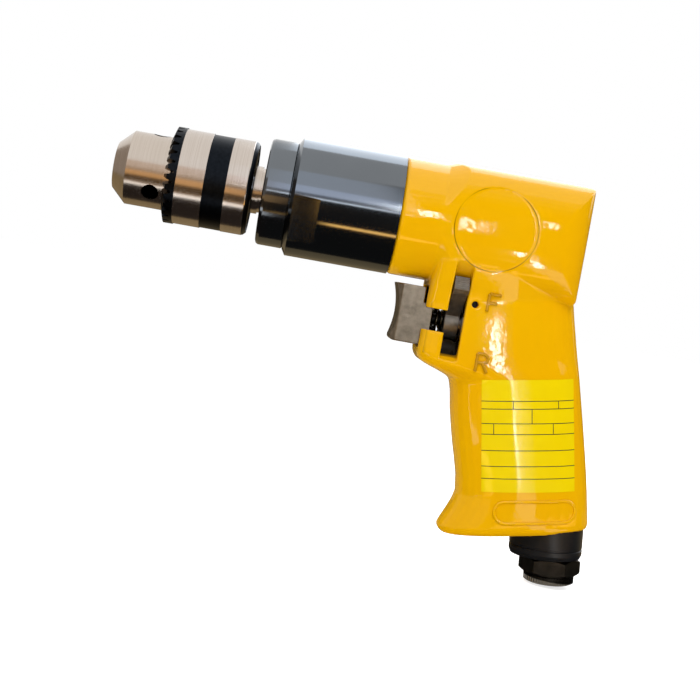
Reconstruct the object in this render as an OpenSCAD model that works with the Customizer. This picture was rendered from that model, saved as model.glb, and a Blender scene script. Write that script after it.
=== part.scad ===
// Reversible air drill with a pistol grip, a keyed chuck and one planetary stage.
// X runs forward along the spindle, Z is up, and the origin is the centre of the chuck's mouth.
// A station is a distance back from the mouth.

/* [Chuck] */
// Radius of the flat face round the mouth
nose_face_r = 8.9; // [8:0.1:10]
// Length of the tapered nose
nose_cone_l = 5.4; // [3:0.1:8]
// Radius of the chuck's nose
nose_r = 14.1; // [13.6:0.1:14.6]
// Radius of the mouth, which takes the tool's shank
mouth_r = 5.3; // [4.8:0.1:5.6]
// Depth of the mouth
mouth_depth = 28; // [24:0.5:30]
// Station of the sleeve's front edge
sleeve_start = 20; // [19.5:0.1:20.5]
// Length of the sleeve
sleeve_l = 32.9; // [31.5:0.1:36]
// Radius of the sleeve's bright bands
sleeve_r = 18.2; // [18:0.1:19]
// Bore of the sleeve, which turns on the chuck body
sleeve_bore_r = 16.45; // [16.2:0.05:16.8]
// Length of the toothed band at the front of the sleeve
gear_band_l = 4.8; // [4:0.1:5.5]
// Length of each bright band
bright_band_l = 9; // [7:0.1:10]
// Depth of the dark middle band below the bright ones
middle_band_depth = 0.25; // [0.1:0.05:0.5]
// Number of key teeth round the sleeve
key_teeth = 30; // [24:1:36]
// Radius of a key hole in the nose
key_hole_r = 3.3; // [2.5:0.1:3.6]
// Station of the key holes
key_hole_at = 15.5; // [14:0.1:15.8]
// Turn of the first key hole up from the left side, in degrees
key_turn = 82; // [0:1:119]
// Radius of a jaw rod
jaw_r = 3.3; // [3:0.05:3.4]
// Slant of a jaw to the spindle, in degrees
jaw_tilt = 15; // [14:0.5:16]
// Distance from the spindle axis to a jaw's axis at the mouth
jaw_offset = 1.7; // [1.5:0.1:2]
// Station of the jaw tips with the chuck open
jaw_tip = 14.5; // [13:0.5:16]
// Station of the jaws' back ends with the chuck open
jaw_back = 46; // [44:0.5:47]
// Opening of the jaws past the shank, on the radius
jaw_clear = 0.05; // [0.03:0.01:0.2]
// Radius of the smallest shank that the jaws hold
jaw_closed_r = 0.5; // [0.4:0.1:1]
// Length of the split nut that drives the jaws
nut_l = 6; // [5:0.5:6]

/* [Spindle] */
// Radius of the chuck thread
thread_r = 4.7; // [4:0.1:5]
// Length of the chuck thread
thread_l = 17; // [14:0.5:18]
// Radius of the bearing seat
spindle_r = 7.5; // [7:0.1:7.8]
// Radius of the collar behind the chuck
collar_r = 9.1; // [8.6:0.1:9.4]
// Length of the collar that shows
collar_l = 2.7; // [2:0.1:4]
// Radius of the chuck screw's thread
screw_r = 2.9; // [2.4:0.1:3]
// Radius of the chuck screw's head
screw_head_r = 4.2; // [3.8:0.1:4.4]
// Height of the chuck screw's head
screw_head_l = 4; // [3:0.1:4.5]
// Length of the chuck screw in the spindle
screw_l = 11; // [9:0.5:12]
// Corner radius of the chuck screw's socket
socket_r = 2.6; // [2.2:0.1:3]

/* [Gear case] */
// Step from the gear case down to the clamp nut
clamp_step = 2.35; // [1.5:0.05:2.8]
// Length of the clamp nut
clamp_nut_l = 10.5; // [9:0.1:13]
// Gap between the collar's face and the clamp nut
clamp_gap = 1.5; // [0.8:0.1:2.5]
// Thickness of the clamp nut's front wall
clamp_wall = 3.2; // [2.5:0.1:4]
// Radius of the gear case
case_r = 22.75; // [22.4:0.05:24]
// Length of the gear case
case_l = 40.8; // [40:0.1:46]
// Depth of a wrench flat
flat_depth = 1.85; // [0.8:0.05:2.1]
// Length of the wrench flats
flat_l = 9.8; // [6:0.1:12]
// Turn of the wrench flats below the left side, in degrees
flat_turn = 25; // [0:1:60]
// Wall of the clamp nut outside its thread
clamp_nut_wall = 2.2; // [1.6:0.1:2.4]
// Wall of the gear case's neck round the front bearing
case_neck_wall = 2.2; // [1.8:0.1:2.6]
// Width of the front ball bearing
front_bearing_w = 9; // [7:0.5:9]
// Step from the front bearing down to the second one
bearing_step = 2; // [1.5:0.1:3]
// Width of the second ball bearing
second_bearing_w = 7; // [6:0.5:8]
// Length between the two ball bearings
bearing_span = 10.7; // [8:0.1:11]

/* [Planetary stage] */
// Wall of the gear case behind the ring teeth
ring_wall = 2.59; // [2.4:0.01:3]
// Teeth on the rotor's pinion
sun_teeth = 12; // [12]
// Teeth on a planet gear
planet_teeth = 18; // [18]
// Number of planet gears
planets = 3; // [3]
// Pressure angle of the teeth, in degrees
pressure_angle = 25; // [24:0.5:26]
// Play between meshing teeth along the pitch line
backlash = 0.12; // [0.1:0.01:0.2]
// Width of a planet gear
planet_w = 9.6; // [8:0.1:10]
// Radius of a planet pin
planet_pin_r = 2.5; // [2.2:0.1:2.8]
// Gap between the carrier discs and the pitch line of the ring teeth
carrier_gap = 3.2; // [2.6:0.1:3.6]
// Wall of a planet bush
bush_wall = 1.05; // [0.8:0.05:1.2]
// Thickness of the front carrier disc
carrier_front_l = 4; // [3:0.1:4.5]
// Thickness of the rear carrier disc
carrier_rear_l = 3; // [2.5:0.1:3.5]

/* [Vane motor] */
// Wall of the barrel round the motor
barrel_wall = 2.8; // [2.6:0.05:3.2]
// Thickness of an end plate
end_plate_l = 8; // [7.5:0.1:9]
// Length of the motor cylinder
cylinder_l = 40; // [34:0.5:41]
// Mean wall of the motor cylinder
cylinder_wall = 3.6; // [3.4:0.1:4]
// Distance of the cylinder's bore above the rotor
rotor_offset = 1.2; // [1:0.05:1.3]
// Running gap between the rotor and the cylinder, where they are closest
rotor_seal_gap = 0.2; // [0.1:0.05:0.4]
// Number of vanes
vanes = 5; // [4:1:6]
// Thickness of a vane
vane_t = 1.8; // [1.2:0.1:2.2]
// Depth of a vane slot
vane_slot_depth = 8; // [6:0.1:8.2]

/* [Housing] */
// Step from the gear case down to the barrel in front of the grip
barrel_step = 0.15; // [0.05:0.05:0.4]
// Inset of the body's sides from the barrel
body_waist = 0.6; // [0.2:0.1:1]
// Rise of the body's top over the barrel
body_rise = 0.6; // [0.2:0.1:1.4]
// Drop of the body's top towards the rear
body_top_drop = 1; // [0:0.1:2]
// Squareness of the body's section, 2 being round
body_square = 3; // [2.6:0.1:4]
// Length of the plain barrel behind the gear case
barrel_l = 15.1; // [12.6:0.1:17.6]
// Length over which the barrel widens
flare_l = 13; // [10:0.5:16]
// Thickness of the rear wall behind the motor
rear_wall = 8.9; // [7.5:0.1:16]
// Radius of the rear corners seen from above
rear_corner_r = 13; // [6:0.5:16]
// Lean of the rear face, in degrees
rear_lean = 1.2; // [0:0.1:2]
// Radius of the round recess on each side
recess_r = 15.5; // [12:0.1:16]
// Distance of the round recess behind the gear case
recess_back = 35.6; // [33.6:0.1:38.6]
// Depth of the round recess
recess_depth = 0.4; // [0.2:0.05:0.8]
// Lean of the grip from upright, in degrees
rake = 11.1; // [8:0.1:13]
// Distance behind the gear case where the grip's line meets the spindle axis
grip_back = 50.4; // [49.1:0.1:51.6]
// Length of the grip from the spindle axis, along its lean
grip_l = 111; // [109:0.5:118]
// Half thickness of the grip
grip_half_t = 16.5; // [16:0.1:18]
// Radius of the grip's lower edge
grip_edge_r = 2.6; // [1.5:0.1:4]
// Reach of the guard in front of the grip's line
guard_reach = 43.4; // [42:0.1:46]
// Depth of the guard below the throttle's axis, along the lean
guard_below = 8; // [7.5:0.1:9.5]
// Reach of the grip's front under the guard
grip_front = 30.4; // [28:0.1:32]
// Reach of the grip's front at its waist
grip_waist = 28.2; // [26:0.1:29]
// Reach of the toe at the grip's foot
toe_reach = 35.8; // [33:0.1:38]
// Reach of the grip's back under the body
grip_back_top = 17.4; // [16:0.1:19]
// Reach of the grip's back at its foot
grip_back_foot = 21.3; // [20.5:0.1:24]

/* [Trigger and reversing lever] */
// Depth of the throttle's axis below the barrel
throttle_below = 13.9; // [13.4:0.1:14.9]
// Width of the trigger
trigger_w = 20; // [16:0.5:20]
// Height of the trigger
trigger_h = 21.8; // [20:0.1:22.4]
// Distance of the trigger's upper front edge behind the gear case
trigger_inset = 3.4; // [1.6:0.1:4.6]
// Length of the trigger from its front edge to its back face
trigger_l = 15.7; // [15.2:0.1:16.7]
// Depth of the trigger's finger hollow
finger_hollow = 2.3; // [1:0.1:3]
// Travel of the trigger
trigger_travel = 4.5; // [3:0.1:4.6]
// Clearance round the trigger in the guard
trigger_clear = 0.6; // [0.4:0.1:1]
// Height of the gap between the guard's posts
post_gap = 8.2; // [7.6:0.1:9]
// Gap between the trigger's back face and the lever slot
slot_gap = 4.9; // [4.7:0.1:5.5]
// Width of the lever slot
slot_w = 6.4; // [6:0.1:7.5]
// Lean of the raised lever arm, in degrees
lever_up = 39; // [38:1:40]
// Lean of the lowered lever arm, in degrees
lever_down = 30; // [28:1:31]
// Swing of the lever from forward to reverse, in degrees
lever_swing = 70; // [60:1:72]
// Height of a lever arm
lever_arm_h = 4.6; // [3.5:0.1:5.2]
// Reach of a lever pad from the throttle's axis
lever_reach = 24.3; // [23.5:0.1:25]
// Height of a lever pad across its serrations
pad_h = 6.4; // [5:0.1:6.6]
// Number of serrations on a lever pad
pad_teeth = 7; // [4:1:9]
// Radius of the throttle stem
stem_r = 2; // [1.8:0.05:2.2]
// Radius of the reversing valve
reverse_r = 5.6; // [5.2:0.1:5.9]
// Outer radius of the valve bushing
bushing_r = 9; // [8.6:0.1:9.2]
// Length of the valve bushing
bushing_l = 25.8; // [24:0.1:27]
// Wire of the trigger spring
spring_wire = 1.1; // [0.9:0.05:1.2]
// Mean radius of the trigger spring
spring_r = 3.35; // [3.3:0.05:3.45]
// Curls of the trigger spring
spring_curls = 5; // [4:1:6]
// Radius of the pin that holds the bushing
lock_pin_r = 1.3; // [1:0.1:1.4]

/* [Inlet and exhaust] */
// Lean of the inlet from upright, in degrees
inlet_rake = 5.5; // [4:0.5:8]
// Distance of the inlet's axis behind the grip's line, at the hexagon's top
inlet_back = 9.13; // [8.4:0.01:9.8]
// Depth of the hexagon's top below the end of the grip's line
hex_below = 9.08; // [8.7:0.01:10.1]
// Width across the flats of the inlet hexagon
hex_af = 20; // [19:0.1:20.5]
// Height of the inlet hexagon
hex_h = 5.8; // [5:0.1:7]
// Radius of the knurled collar
knurl_r = 9.2; // [8.8:0.1:9.6]
// Height of the knurled collar
knurl_h = 3.8; // [3:0.1:5]
// Wall radius of the inlet's pipe thread
inlet_thread_r = 5.65; // [5.4:0.05:6]
// Length of the inlet's pipe thread
inlet_thread_l = 13; // [11:0.5:14]
// Outer radius of the inlet's screwed shank
shank_r = 8.2; // [7.8:0.1:8.6]
// Length of the inlet's screwed shank
shank_l = 22; // [18:0.5:24]
// Radius of the exhaust deflector
deflector_r = 13.75; // [13.4:0.05:13.9]
// Height of the exhaust deflector
deflector_h = 12.6; // [11:0.1:13]
// Distance of the deflector's axis in front of the inlet's
deflector_shift = 2.1; // [1:0.1:2.2]

/* [Hidden] */
$fn = 72;
// Radial clearances of a running fit and of a seat
fit = 0.05;
seat = 0.02;
// Gap between parts that turn past each other
run_gap = 0.6;
// Overshoot of a cut past a face
cut = 1;

// Radii, from the gear case in
clamp_nut_r = case_r - clamp_step;
case_thread_r = clamp_nut_r - clamp_nut_wall;
front_bearing_r = case_thread_r - case_neck_wall;
second_bearing_r = front_bearing_r - bearing_step;
flat_r = case_r - flat_depth;
barrel_r = case_r - barrel_step;
body_half_w = barrel_r - body_waist;
body_top = barrel_r + body_rise;
motor_bore_r = barrel_r - barrel_wall;
cylinder_bore_r = motor_bore_r - cylinder_wall;
rotor_r = cylinder_bore_r - rotor_offset - rotor_seal_gap;

// Chuck stations
sleeve_end = sleeve_start + sleeve_l;
gear_band_end = sleeve_start + gear_band_l;
middle_start = gear_band_end + bright_band_l + 1.3;
rear_edge_l = 1.8;
middle_end = sleeve_end - rear_edge_l - bright_band_l + 1.2;
sleeve_lip = 2.1;
nut_start = sleeve_start + sleeve_lip + 0.1;
nut_end = nut_start + nut_l;
chuck_fit = 0.05;
chuck_end = sleeve_end - 0.4;
jaw_travel = (mouth_r + jaw_clear - jaw_closed_r) / sin(jaw_tilt);
jaw_step = 120;
first_jaw = key_turn - 60;
bevel_l = 1.3;
gear_band_r = sleeve_r + 0.3;

// Spindle stations, in order from the chuck back
seat_start = sleeve_end + 0.5;
thread_start = sleeve_end - thread_l;
clamp_start = sleeve_end + collar_l + clamp_gap;
clamp_end = clamp_start + clamp_nut_l;
front_bearing_at = clamp_start + clamp_wall;
front_bearing_end = front_bearing_at + front_bearing_w;
second_bearing_at = front_bearing_end + bearing_span;
second_bearing_end = second_bearing_at + second_bearing_w;
carrier_at = second_bearing_end + run_gap;
planet_at = carrier_at + carrier_front_l + run_gap;
planet_end = planet_at + planet_w;
carrier_rear_at = planet_end + run_gap;
carrier_end = carrier_rear_at + carrier_rear_l;
case_end = clamp_end + case_l;
case_spigot_l = 5.6;
case_spigot_r = motor_bore_r + 0.6;

// Planetary stage, its tooth size such that the ring fills the gear case
ring_teeth = sun_teeth + 2 * planet_teeth;
root_share = 1.2;
gear_module = (case_r - ring_wall) / (ring_teeth / 2 + root_share);
sun_pitch_r = gear_module * sun_teeth / 2;
planet_pitch_r = gear_module * planet_teeth / 2;
ring_pitch_r = gear_module * ring_teeth / 2;
planet_orbit = sun_pitch_r + planet_pitch_r;
tooth_add = 0.9 * gear_module;
tooth_ded = root_share * gear_module;
carrier_r = ring_pitch_r - carrier_gap;
planet_bore_r = planet_pin_r + fit + bush_wall;
ring_margin = 1.2;

// Vane motor stations
motor_at = case_end + case_spigot_l;
cylinder_at = motor_at + end_plate_l;
cylinder_end = cylinder_at + cylinder_l;
rotor_gap = 0.3;
motor_end = cylinder_end + end_plate_l;
gasket_t = 1;
motor_bore_end = motor_end + gasket_t;
motor_r = motor_bore_r - fit;
rotor_bearing_r = motor_bore_r - 7.8;
rotor_bearing_bore = 6;
rotor_bearing_w = 6;
tail_bearing_r = rotor_bearing_r - 1;
tail_bearing_bore = 4;
tail_bearing_w = 7;
rotor_bearing_at = motor_at + 0.8;
tail_bearing_at = motor_end - tail_bearing_w;
dowel_r = 1.2;
dowel_orbit = motor_bore_r - 2 * dowel_r;

// Housing stations
flare_start = case_end + barrel_l;
rear_at = motor_bore_end + rear_wall;
recess_at = case_end + recess_back;
grip_at = case_end + grip_back;

// Throttle stations
throttle_drop = barrel_r + throttle_below;
guard_depth = throttle_drop + guard_below;
trigger_front = case_end + trigger_inset;
trigger_back = trigger_front + trigger_l;
slot_at = trigger_back + slot_gap;
slot_end = slot_at + slot_w;
lever_play = 0.4;
lever_l = slot_w - 2 * lever_play;
lever_at = slot_at + lever_play;
hub_r = 7.2;
valve_stub_r = reverse_r - 1;
bushing_at = slot_end + 0.4;
bushing_end = bushing_at + bushing_l;
valve_l = 2.5;
valve_chamber_end = bushing_end + valve_l + trigger_travel + 6;
stem_start = trigger_front + 5;
trigger_top = throttle_drop - trigger_h / 2 - 0.5;
trigger_foot = trigger_top + trigger_h;
spring_pocket = 8;
spring_start = trigger_back - spring_pocket + 0.2;
spring_end = lever_at - 0.1;
seal_r = 0.9;
front_seal_back = 11.5;
rear_seal_front = 4;
bushing_seal_at = [bushing_at + front_seal_back, bushing_end - rear_seal_front];
port_r = 2.4;
port_back = 6;
port_side = 4.4;
lock_pin_at = bushing_at + 2.8;
lock_pin_up = bushing_r - lock_pin_r + 0.4;

// Inlet and exhaust, measured down the inlet's own axis from the hexagon's top
inlet_at = grip_at + grip_l * sin(rake) + inlet_back;
hex_drop = grip_l * cos(rake) + hex_below;
deflector_gap = 0.3;
deflector_wall = 1.9;
inlet_foot = hex_h + knurl_h;
inlet_bore_r = 4.2;
screen_r = inlet_bore_r + 1.5;
screen_seat_l = 3;

STEEL = "silver";
BLACK = [0.12, 0.12, 0.13];
YELLOW = [0.95, 0.7, 0.05];
GREY = [0.55, 0.53, 0.5];
BRASS = [0.72, 0.6, 0.3];

// Places a shape drawn round Z at a station, its Z running back along the spindle
module back(s) {
    translate([-s, 0, 0]) rotate([0, -90, 0]) children();
}

// Solid of revolution round the spindle, from points of radius and station
module turned(profile) {
    rotate([0, -90, 0]) rotate_extrude() polygon(profile);
}

// Plain ring round the spindle
module ring(s, l, outer, inner) {
    turned([[inner, s], [outer, s], [outer, s + l], [inner, s + l]]);
}

// Extrudes a side view, drawn in X and Z, equally to both sides
module side_view(w) {
    rotate([90, 0, 0]) linear_extrude(height = w, center = true) children();
}

// Extrudes a cross-section, drawn in Y and Z, from a station back
module section(s, l) {
    translate([-s - l, 0, 0]) rotate([90, 0, 90]) linear_extrude(height = l) children();
}

// Places a shape on the throttle's axis
module on_throttle() {
    translate([0, 0, -throttle_drop]) children();
}

// Places a shape in the leaning grip, its Z pointing up the grip
module on_grip() {
    translate([-grip_at, 0, 0]) rotate([0, rake, 0]) children();
}

// Places a shape on the inlet's axis, its Z pointing down from the hexagon's top
module on_inlet() {
    translate([-inlet_at, 0, -hex_drop]) rotate([180, inlet_rake, 0]) children();
}

// Ball bearing: half of the way between bore and outside is balls
function ball_r(bore, outer) = 0.26 * (outer - bore);
function ball_orbit(bore, outer) = (bore + outer) / 2;
function ball_count(bore, outer) = floor(PI * ball_orbit(bore, outer) / ball_r(bore, outer) * 0.72);

module ball_groove(s, w, bore, outer) {
    back(s + w / 2) rotate_extrude() translate([ball_orbit(bore, outer), 0])
        circle(r = ball_r(bore, outer) + fit);
}

module bearing_outer(s, w, bore, outer) {
    color(STEEL) difference() {
        ring(s, w, outer, ball_orbit(bore, outer) + 0.5 * ball_r(bore, outer));
        ball_groove(s, w, bore, outer);
    }
}

module bearing_inner(s, w, bore, outer) {
    color(STEEL) difference() {
        ring(s, w, ball_orbit(bore, outer) - 0.5 * ball_r(bore, outer), bore);
        ball_groove(s, w, bore, outer);
    }
}

module bearing_balls(s, w, bore, outer) {
    n = ball_count(bore, outer);
    color(GREY) back(s + w / 2) for (i = [0:n - 1]) rotate(i * 360 / n)
        translate([ball_orbit(bore, outer), 0, 0]) sphere(r = ball_r(bore, outer));
}

// Involute gear outline, as teeth of given thickness change round the pitch circle
function roll(a) = tan(a) * 180 / PI - a;
function flank(r, pitch_r, half) = half + roll(pressure_angle)
    - roll(acos(min(1, pitch_r * cos(pressure_angle) / r)));
function polar(r, a) = [r * cos(a), r * sin(a)];
function gear_outline(teeth, tip, root, extra) =
    let (pitch_r = gear_module * teeth / 2,
         half = 90 / teeth + extra / (2 * pitch_r) * 180 / PI,
         low = max(root, pitch_r * cos(pressure_angle) + 0.01),
         steps = 4,
         radii = concat([root], [for (i = [0:steps]) low + (tip - low) * i / steps]),
         n = len(radii))
    [for (k = [0:teeth - 1], j = [0:2 * n - 1])
        let (up = j < n, r = radii[up ? j : 2 * n - 1 - j], side = up ? -1 : 1)
        polar(r, k * 360 / teeth + side * flank(max(r, low), pitch_r, half))];

// Chuck
module jaw_place(i) {
    rotate([first_jaw + i * jaw_step, 0, 0]) children();
}

module jaw_rod(from, to, r) {
    translate([0, jaw_offset, 0]) rotate([0, 0, -jaw_tilt]) rotate([0, -90, 0])
        translate([0, 0, from / cos(jaw_tilt)]) cylinder(h = (to - from) / cos(jaw_tilt), r = r);
}

function jaw_outside(s) = jaw_offset + s * tan(jaw_tilt) + jaw_r / cos(jaw_tilt);

module chuck_body() {
    groove_r = jaw_outside(nut_start) - 0.4;
    screw_seat = mouth_depth + screw_head_l + 0.4;
    color(STEEL) difference() {
        turned([[0, 0], [nose_face_r, 0], [nose_r, nose_cone_l], [nose_r, nut_start - chuck_fit],
                [groove_r, nut_start - chuck_fit], [groove_r, nut_end + chuck_fit],
                [sleeve_bore_r - fit, nut_end + chuck_fit], [sleeve_bore_r - fit, chuck_end],
                [0, chuck_end]]);
        back(-cut) cylinder(h = mouth_depth + cut, r = mouth_r);
        back(mouth_depth - cut) cylinder(h = screw_seat - mouth_depth + cut, r = screw_head_r + 0.1);
        back(screw_seat - cut) cylinder(h = thread_start - screw_seat + 2 * cut, r = screw_r + 0.2);
        back(thread_start - 0.3) cylinder(h = thread_l + cut, r = thread_r + fit);
        for (i = [0:2]) jaw_place(i) jaw_rod(-2, jaw_back + 1.5, jaw_r + chuck_fit);
        for (i = [0:2]) rotate([key_turn + i * jaw_step, 0, 0]) translate([-key_hole_at, 0, 0])
            rotate([-90, 0, 0]) translate([0, 0, nose_r - 6.5]) cylinder(h = 10, r = key_hole_r);
    }
}

module chuck_jaw(i) {
    apex = mouth_r + jaw_clear - jaw_closed_r + 0.2;
    land = mouth_r + jaw_clear;
    far = 24;
    wedge = tan(60);
    relief_r = sleeve_bore_r - 0.25;
    color(GREY) intersection() {
        jaw_place(i) jaw_rod(jaw_tip - 5, jaw_back, jaw_r);
        jaw_place(i) section(jaw_tip - 2, jaw_back - jaw_tip + 5)
            polygon([[land, -wedge * (land - apex)], [far, -wedge * (far - apex)],
                     [far, wedge * (far - apex)], [land, wedge * (land - apex)]]);
        turned([[0, jaw_tip], [relief_r, jaw_tip], [relief_r, jaw_back + 3], [0, jaw_back + 3]]);
    }
}

module chuck_nut() {
    clear = 0.2;
    split = 0.4;
    color(GREY) difference() {
        turned([[jaw_outside(nut_start) + clear, nut_start], [sleeve_bore_r - seat, nut_start],
                [sleeve_bore_r - seat, nut_end], [jaw_outside(nut_end) + clear, nut_end]]);
        translate([-nut_end - cut, -2 * sleeve_r, -split / 2]) cube([nut_l + 2 * cut, 4 * sleeve_r, split]);
    }
}

module chuck_sleeve() {
    lip_r = nose_r + fit;
    bevel_r = nose_r + 0.5;
    dark_r = sleeve_r - middle_band_depth;
    edge = rear_edge_l;
    groove_top = 1.25;
    groove_foot = 0.35;
    groove_depth = 2;
    color(GREY) difference() {
        turned([[lip_r, sleeve_start], [bevel_r, sleeve_start], [gear_band_r, sleeve_start + bevel_l],
                [gear_band_r, gear_band_end], [sleeve_r, gear_band_end], [sleeve_r, middle_start],
                [dark_r, middle_start], [dark_r, middle_end], [sleeve_r - 0.1, middle_end],
                [sleeve_r - 0.1, sleeve_end - edge], [sleeve_r - 0.4, sleeve_end - 0.5 * edge],
                [sleeve_r - 1.3, sleeve_end], [sleeve_bore_r, sleeve_end],
                [sleeve_bore_r, sleeve_start + sleeve_lip], [lip_r, sleeve_start + sleeve_lip]]);
        for (i = [0:key_teeth - 1]) rotate([i * 360 / key_teeth, 0, 0])
            translate([-sleeve_start, nose_r - 0.5, 0])
            rotate([0, 0, atan(bevel_l / (gear_band_r - bevel_r))])
            rotate([-90, 0, 0]) linear_extrude(height = gear_band_r - nose_r + groove_depth + cut)
            polygon([[cut, -groove_top], [cut, groove_top], [-groove_depth, groove_foot],
                     [-groove_depth, -groove_foot]]);
    }
}

module chuck_screw() {
    head_at = mouth_depth + 0.4;
    color(BLACK) difference() {
        turned([[0, head_at], [screw_head_r, head_at], [screw_head_r, head_at + screw_head_l],
                [screw_r, head_at + screw_head_l], [screw_r, thread_start + screw_l],
                [0, thread_start + screw_l]]);
        back(head_at - cut) cylinder(h = socket_r + cut, r = socket_r, $fn = 6);
    }
}

// Spindle and gear case
module spindle() {
    web_r = 2.6;
    web_orbit = carrier_r - web_r - 0.3;
    pinion_clear = sun_pitch_r + tooth_add + 0.7;
    color(STEEL) difference() {
        union() {
            turned([[0, thread_start], [thread_r, thread_start], [thread_r, seat_start],
                    [spindle_r - seat, seat_start],
                    [spindle_r - seat, second_bearing_end], [spindle_r + 1.6, second_bearing_end],
                    [spindle_r + 1.6, carrier_at], [carrier_r, carrier_at],
                    [carrier_r, carrier_at + carrier_front_l], [0, carrier_at + carrier_front_l]]);
            ring(carrier_rear_at, carrier_rear_l, carrier_r, pinion_clear);
            for (i = [0:planets - 1]) rotate([i * 360 / planets + 180 / planets, 0, 0])
                translate([0, 0, web_orbit]) back(carrier_at)
                cylinder(h = carrier_end - carrier_at, r = web_r);
        }
        back(thread_start - cut) cylinder(h = screw_l + 2 * cut, r = screw_r + fit);
        back(carrier_at + carrier_front_l - 1) cylinder(h = 2, r = pinion_clear);
        for (i = [0:planets - 1]) planet_place(i) back(carrier_at + 1)
            cylinder(h = carrier_end - carrier_at + cut, r = planet_pin_r + seat);
    }
}

module planet_place(i) {
    rotate([i * 360 / planets, 0, 0]) translate([0, 0, planet_orbit]) children();
}

module spindle_collar() {
    color(STEEL) turned([[spindle_r, sleeve_end + 0.05], [collar_r - 0.3, sleeve_end + 0.05],
        [collar_r, sleeve_end + 0.35], [collar_r, sleeve_end + collar_l],
        [collar_r - 0.6, sleeve_end + collar_l],
        [collar_r - 0.6, front_bearing_at], [spindle_r, front_bearing_at]]);
}

module planet_pins() {
    color(STEEL) for (i = [0:planets - 1]) planet_place(i) back(carrier_at + 1)
        cylinder(h = carrier_end - carrier_at - 1, r = planet_pin_r);
}

module planet_gear(i) {
    outline = gear_outline(planet_teeth, planet_pitch_r + tooth_add, planet_pitch_r - tooth_ded,
        -backlash / 2);
    color(GREY) planet_place(i) back(planet_at) difference() {
        linear_extrude(height = planet_w) rotate(180 / planet_teeth) polygon(outline);
        translate([0, 0, -cut]) cylinder(h = planet_w + 2 * cut, r = planet_bore_r + seat);
    }
}

module planet_bush(i) {
    color(BRASS) planet_place(i) ring(planet_at, planet_w, planet_bore_r, planet_pin_r + fit);
}

module clamp_nut() {
    edge = 1.3;
    inner = case_thread_r + fit;
    color(BLACK) turned([[collar_r + 0.5, clamp_start], [clamp_nut_r - edge, clamp_start],
        [clamp_nut_r - 0.3 * edge, clamp_start + 0.3 * edge], [clamp_nut_r, clamp_start + edge],
        [clamp_nut_r, clamp_end - 0.5], [clamp_nut_r - 0.4, clamp_end - 0.1], [inner, clamp_end - 0.1],
        [inner, front_bearing_at], [collar_r + 0.5, front_bearing_at]]);
}

module gear_case() {
    chamfer = 1.4;
    ring_front = planet_at - ring_margin;
    ring_end = planet_end + ring_margin;
    tip_r = ring_pitch_r - tooth_add;
    relief_r = ring_pitch_r - 0.4;
    spaces = gear_outline(ring_teeth, ring_pitch_r + tooth_ded, tip_r, backlash / 2);
    color(BLACK) difference() {
        turned([[front_bearing_r + seat, front_bearing_at + 0.3], [case_thread_r, front_bearing_at + 0.3],
                [case_thread_r, clamp_end], [clamp_nut_r + 0.1, clamp_end], [case_r, clamp_end + chamfer],
                [case_r, case_end], [case_spigot_r, case_end], [case_spigot_r, motor_at],
                [relief_r, motor_at], [relief_r, ring_end], [tip_r, ring_end], [tip_r, ring_front],
                [carrier_r + 1.2, ring_front], [carrier_r + 1.2, second_bearing_end],
                [second_bearing_r + seat, second_bearing_end], [second_bearing_r + seat, second_bearing_at],
                [second_bearing_r - 2, second_bearing_at], [second_bearing_r - 2, front_bearing_end],
                [front_bearing_r + seat, front_bearing_end]]);
        back(ring_front) linear_extrude(height = ring_end - ring_front + 0.01)
            rotate(180 / ring_teeth) polygon(spaces);
        for (side = [0, 180]) rotate([side - flat_turn, 0, 0])
            translate([-clamp_end - chamfer - flat_l, flat_r, -case_r]) cube([flat_l, case_r, 2 * case_r]);
    }
}

// Vane motor
module rotor() {
    pinion = gear_outline(sun_teeth, sun_pitch_r + tooth_add, sun_pitch_r - tooth_ded, -backlash / 2);
    pinion_at = planet_at - 0.3;
    neck_r = sun_pitch_r - tooth_ded;
    slot_floor = rotor_r - vane_slot_depth;
    color(STEEL) difference() {
        union() {
            back(pinion_at) linear_extrude(height = carrier_end + 2 - pinion_at) polygon(pinion);
            turned([[0, carrier_end], [neck_r, carrier_end], [neck_r, rotor_bearing_at - 0.6],
                    [rotor_bearing_bore - seat, rotor_bearing_at - 0.6],
                    [rotor_bearing_bore - seat, rotor_bearing_at + rotor_bearing_w],
                    [rotor_bearing_bore + 0.9, rotor_bearing_at + rotor_bearing_w],
                    [rotor_bearing_bore + 0.9, cylinder_at + rotor_gap], [rotor_r, cylinder_at + rotor_gap],
                    [rotor_r, cylinder_end - rotor_gap], [tail_bearing_bore + 1, cylinder_end - rotor_gap],
                    [tail_bearing_bore + 1, tail_bearing_at], [tail_bearing_bore - seat, tail_bearing_at],
                    [tail_bearing_bore - seat, motor_end - 0.5], [0, motor_end - 0.5]]);
        }
        for (i = [0:vanes - 1]) rotate([i * 360 / vanes, 0, 0])
            translate([-cylinder_end, -vane_t / 2 - fit, slot_floor])
            cube([cylinder_l, vane_t + 2 * fit, vane_slot_depth + cut]);
    }
}

module rotor_vanes() {
    lift = 0.2;
    color([0.45, 0.3, 0.15]) for (i = [0:vanes - 1]) rotate([i * 360 / vanes, 0, 0])
        translate([-cylinder_end + rotor_gap, -vane_t / 2, rotor_r - vane_slot_depth])
        cube([cylinder_l - 2 * rotor_gap, vane_t, vane_slot_depth - lift]);
}

module motor_cylinder() {
    port_r = 1.8;
    ports = 5;
    color(GREY) difference() {
        back(cylinder_at) cylinder(h = cylinder_l, r = motor_r);
        translate([0, 0, rotor_offset]) back(cylinder_at - cut)
            cylinder(h = cylinder_l + 2 * cut, r = cylinder_bore_r);
        dowel_hole(cylinder_at - cut, cylinder_l + 2 * cut);
        for (i = [0:ports - 1]) translate([-cylinder_at - (i + 1) * cylinder_l / (ports + 1), 0, 0])
            rotate([90, 0, 0]) cylinder(h = 3 * motor_r, r = port_r, center = true);
    }
}

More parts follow.
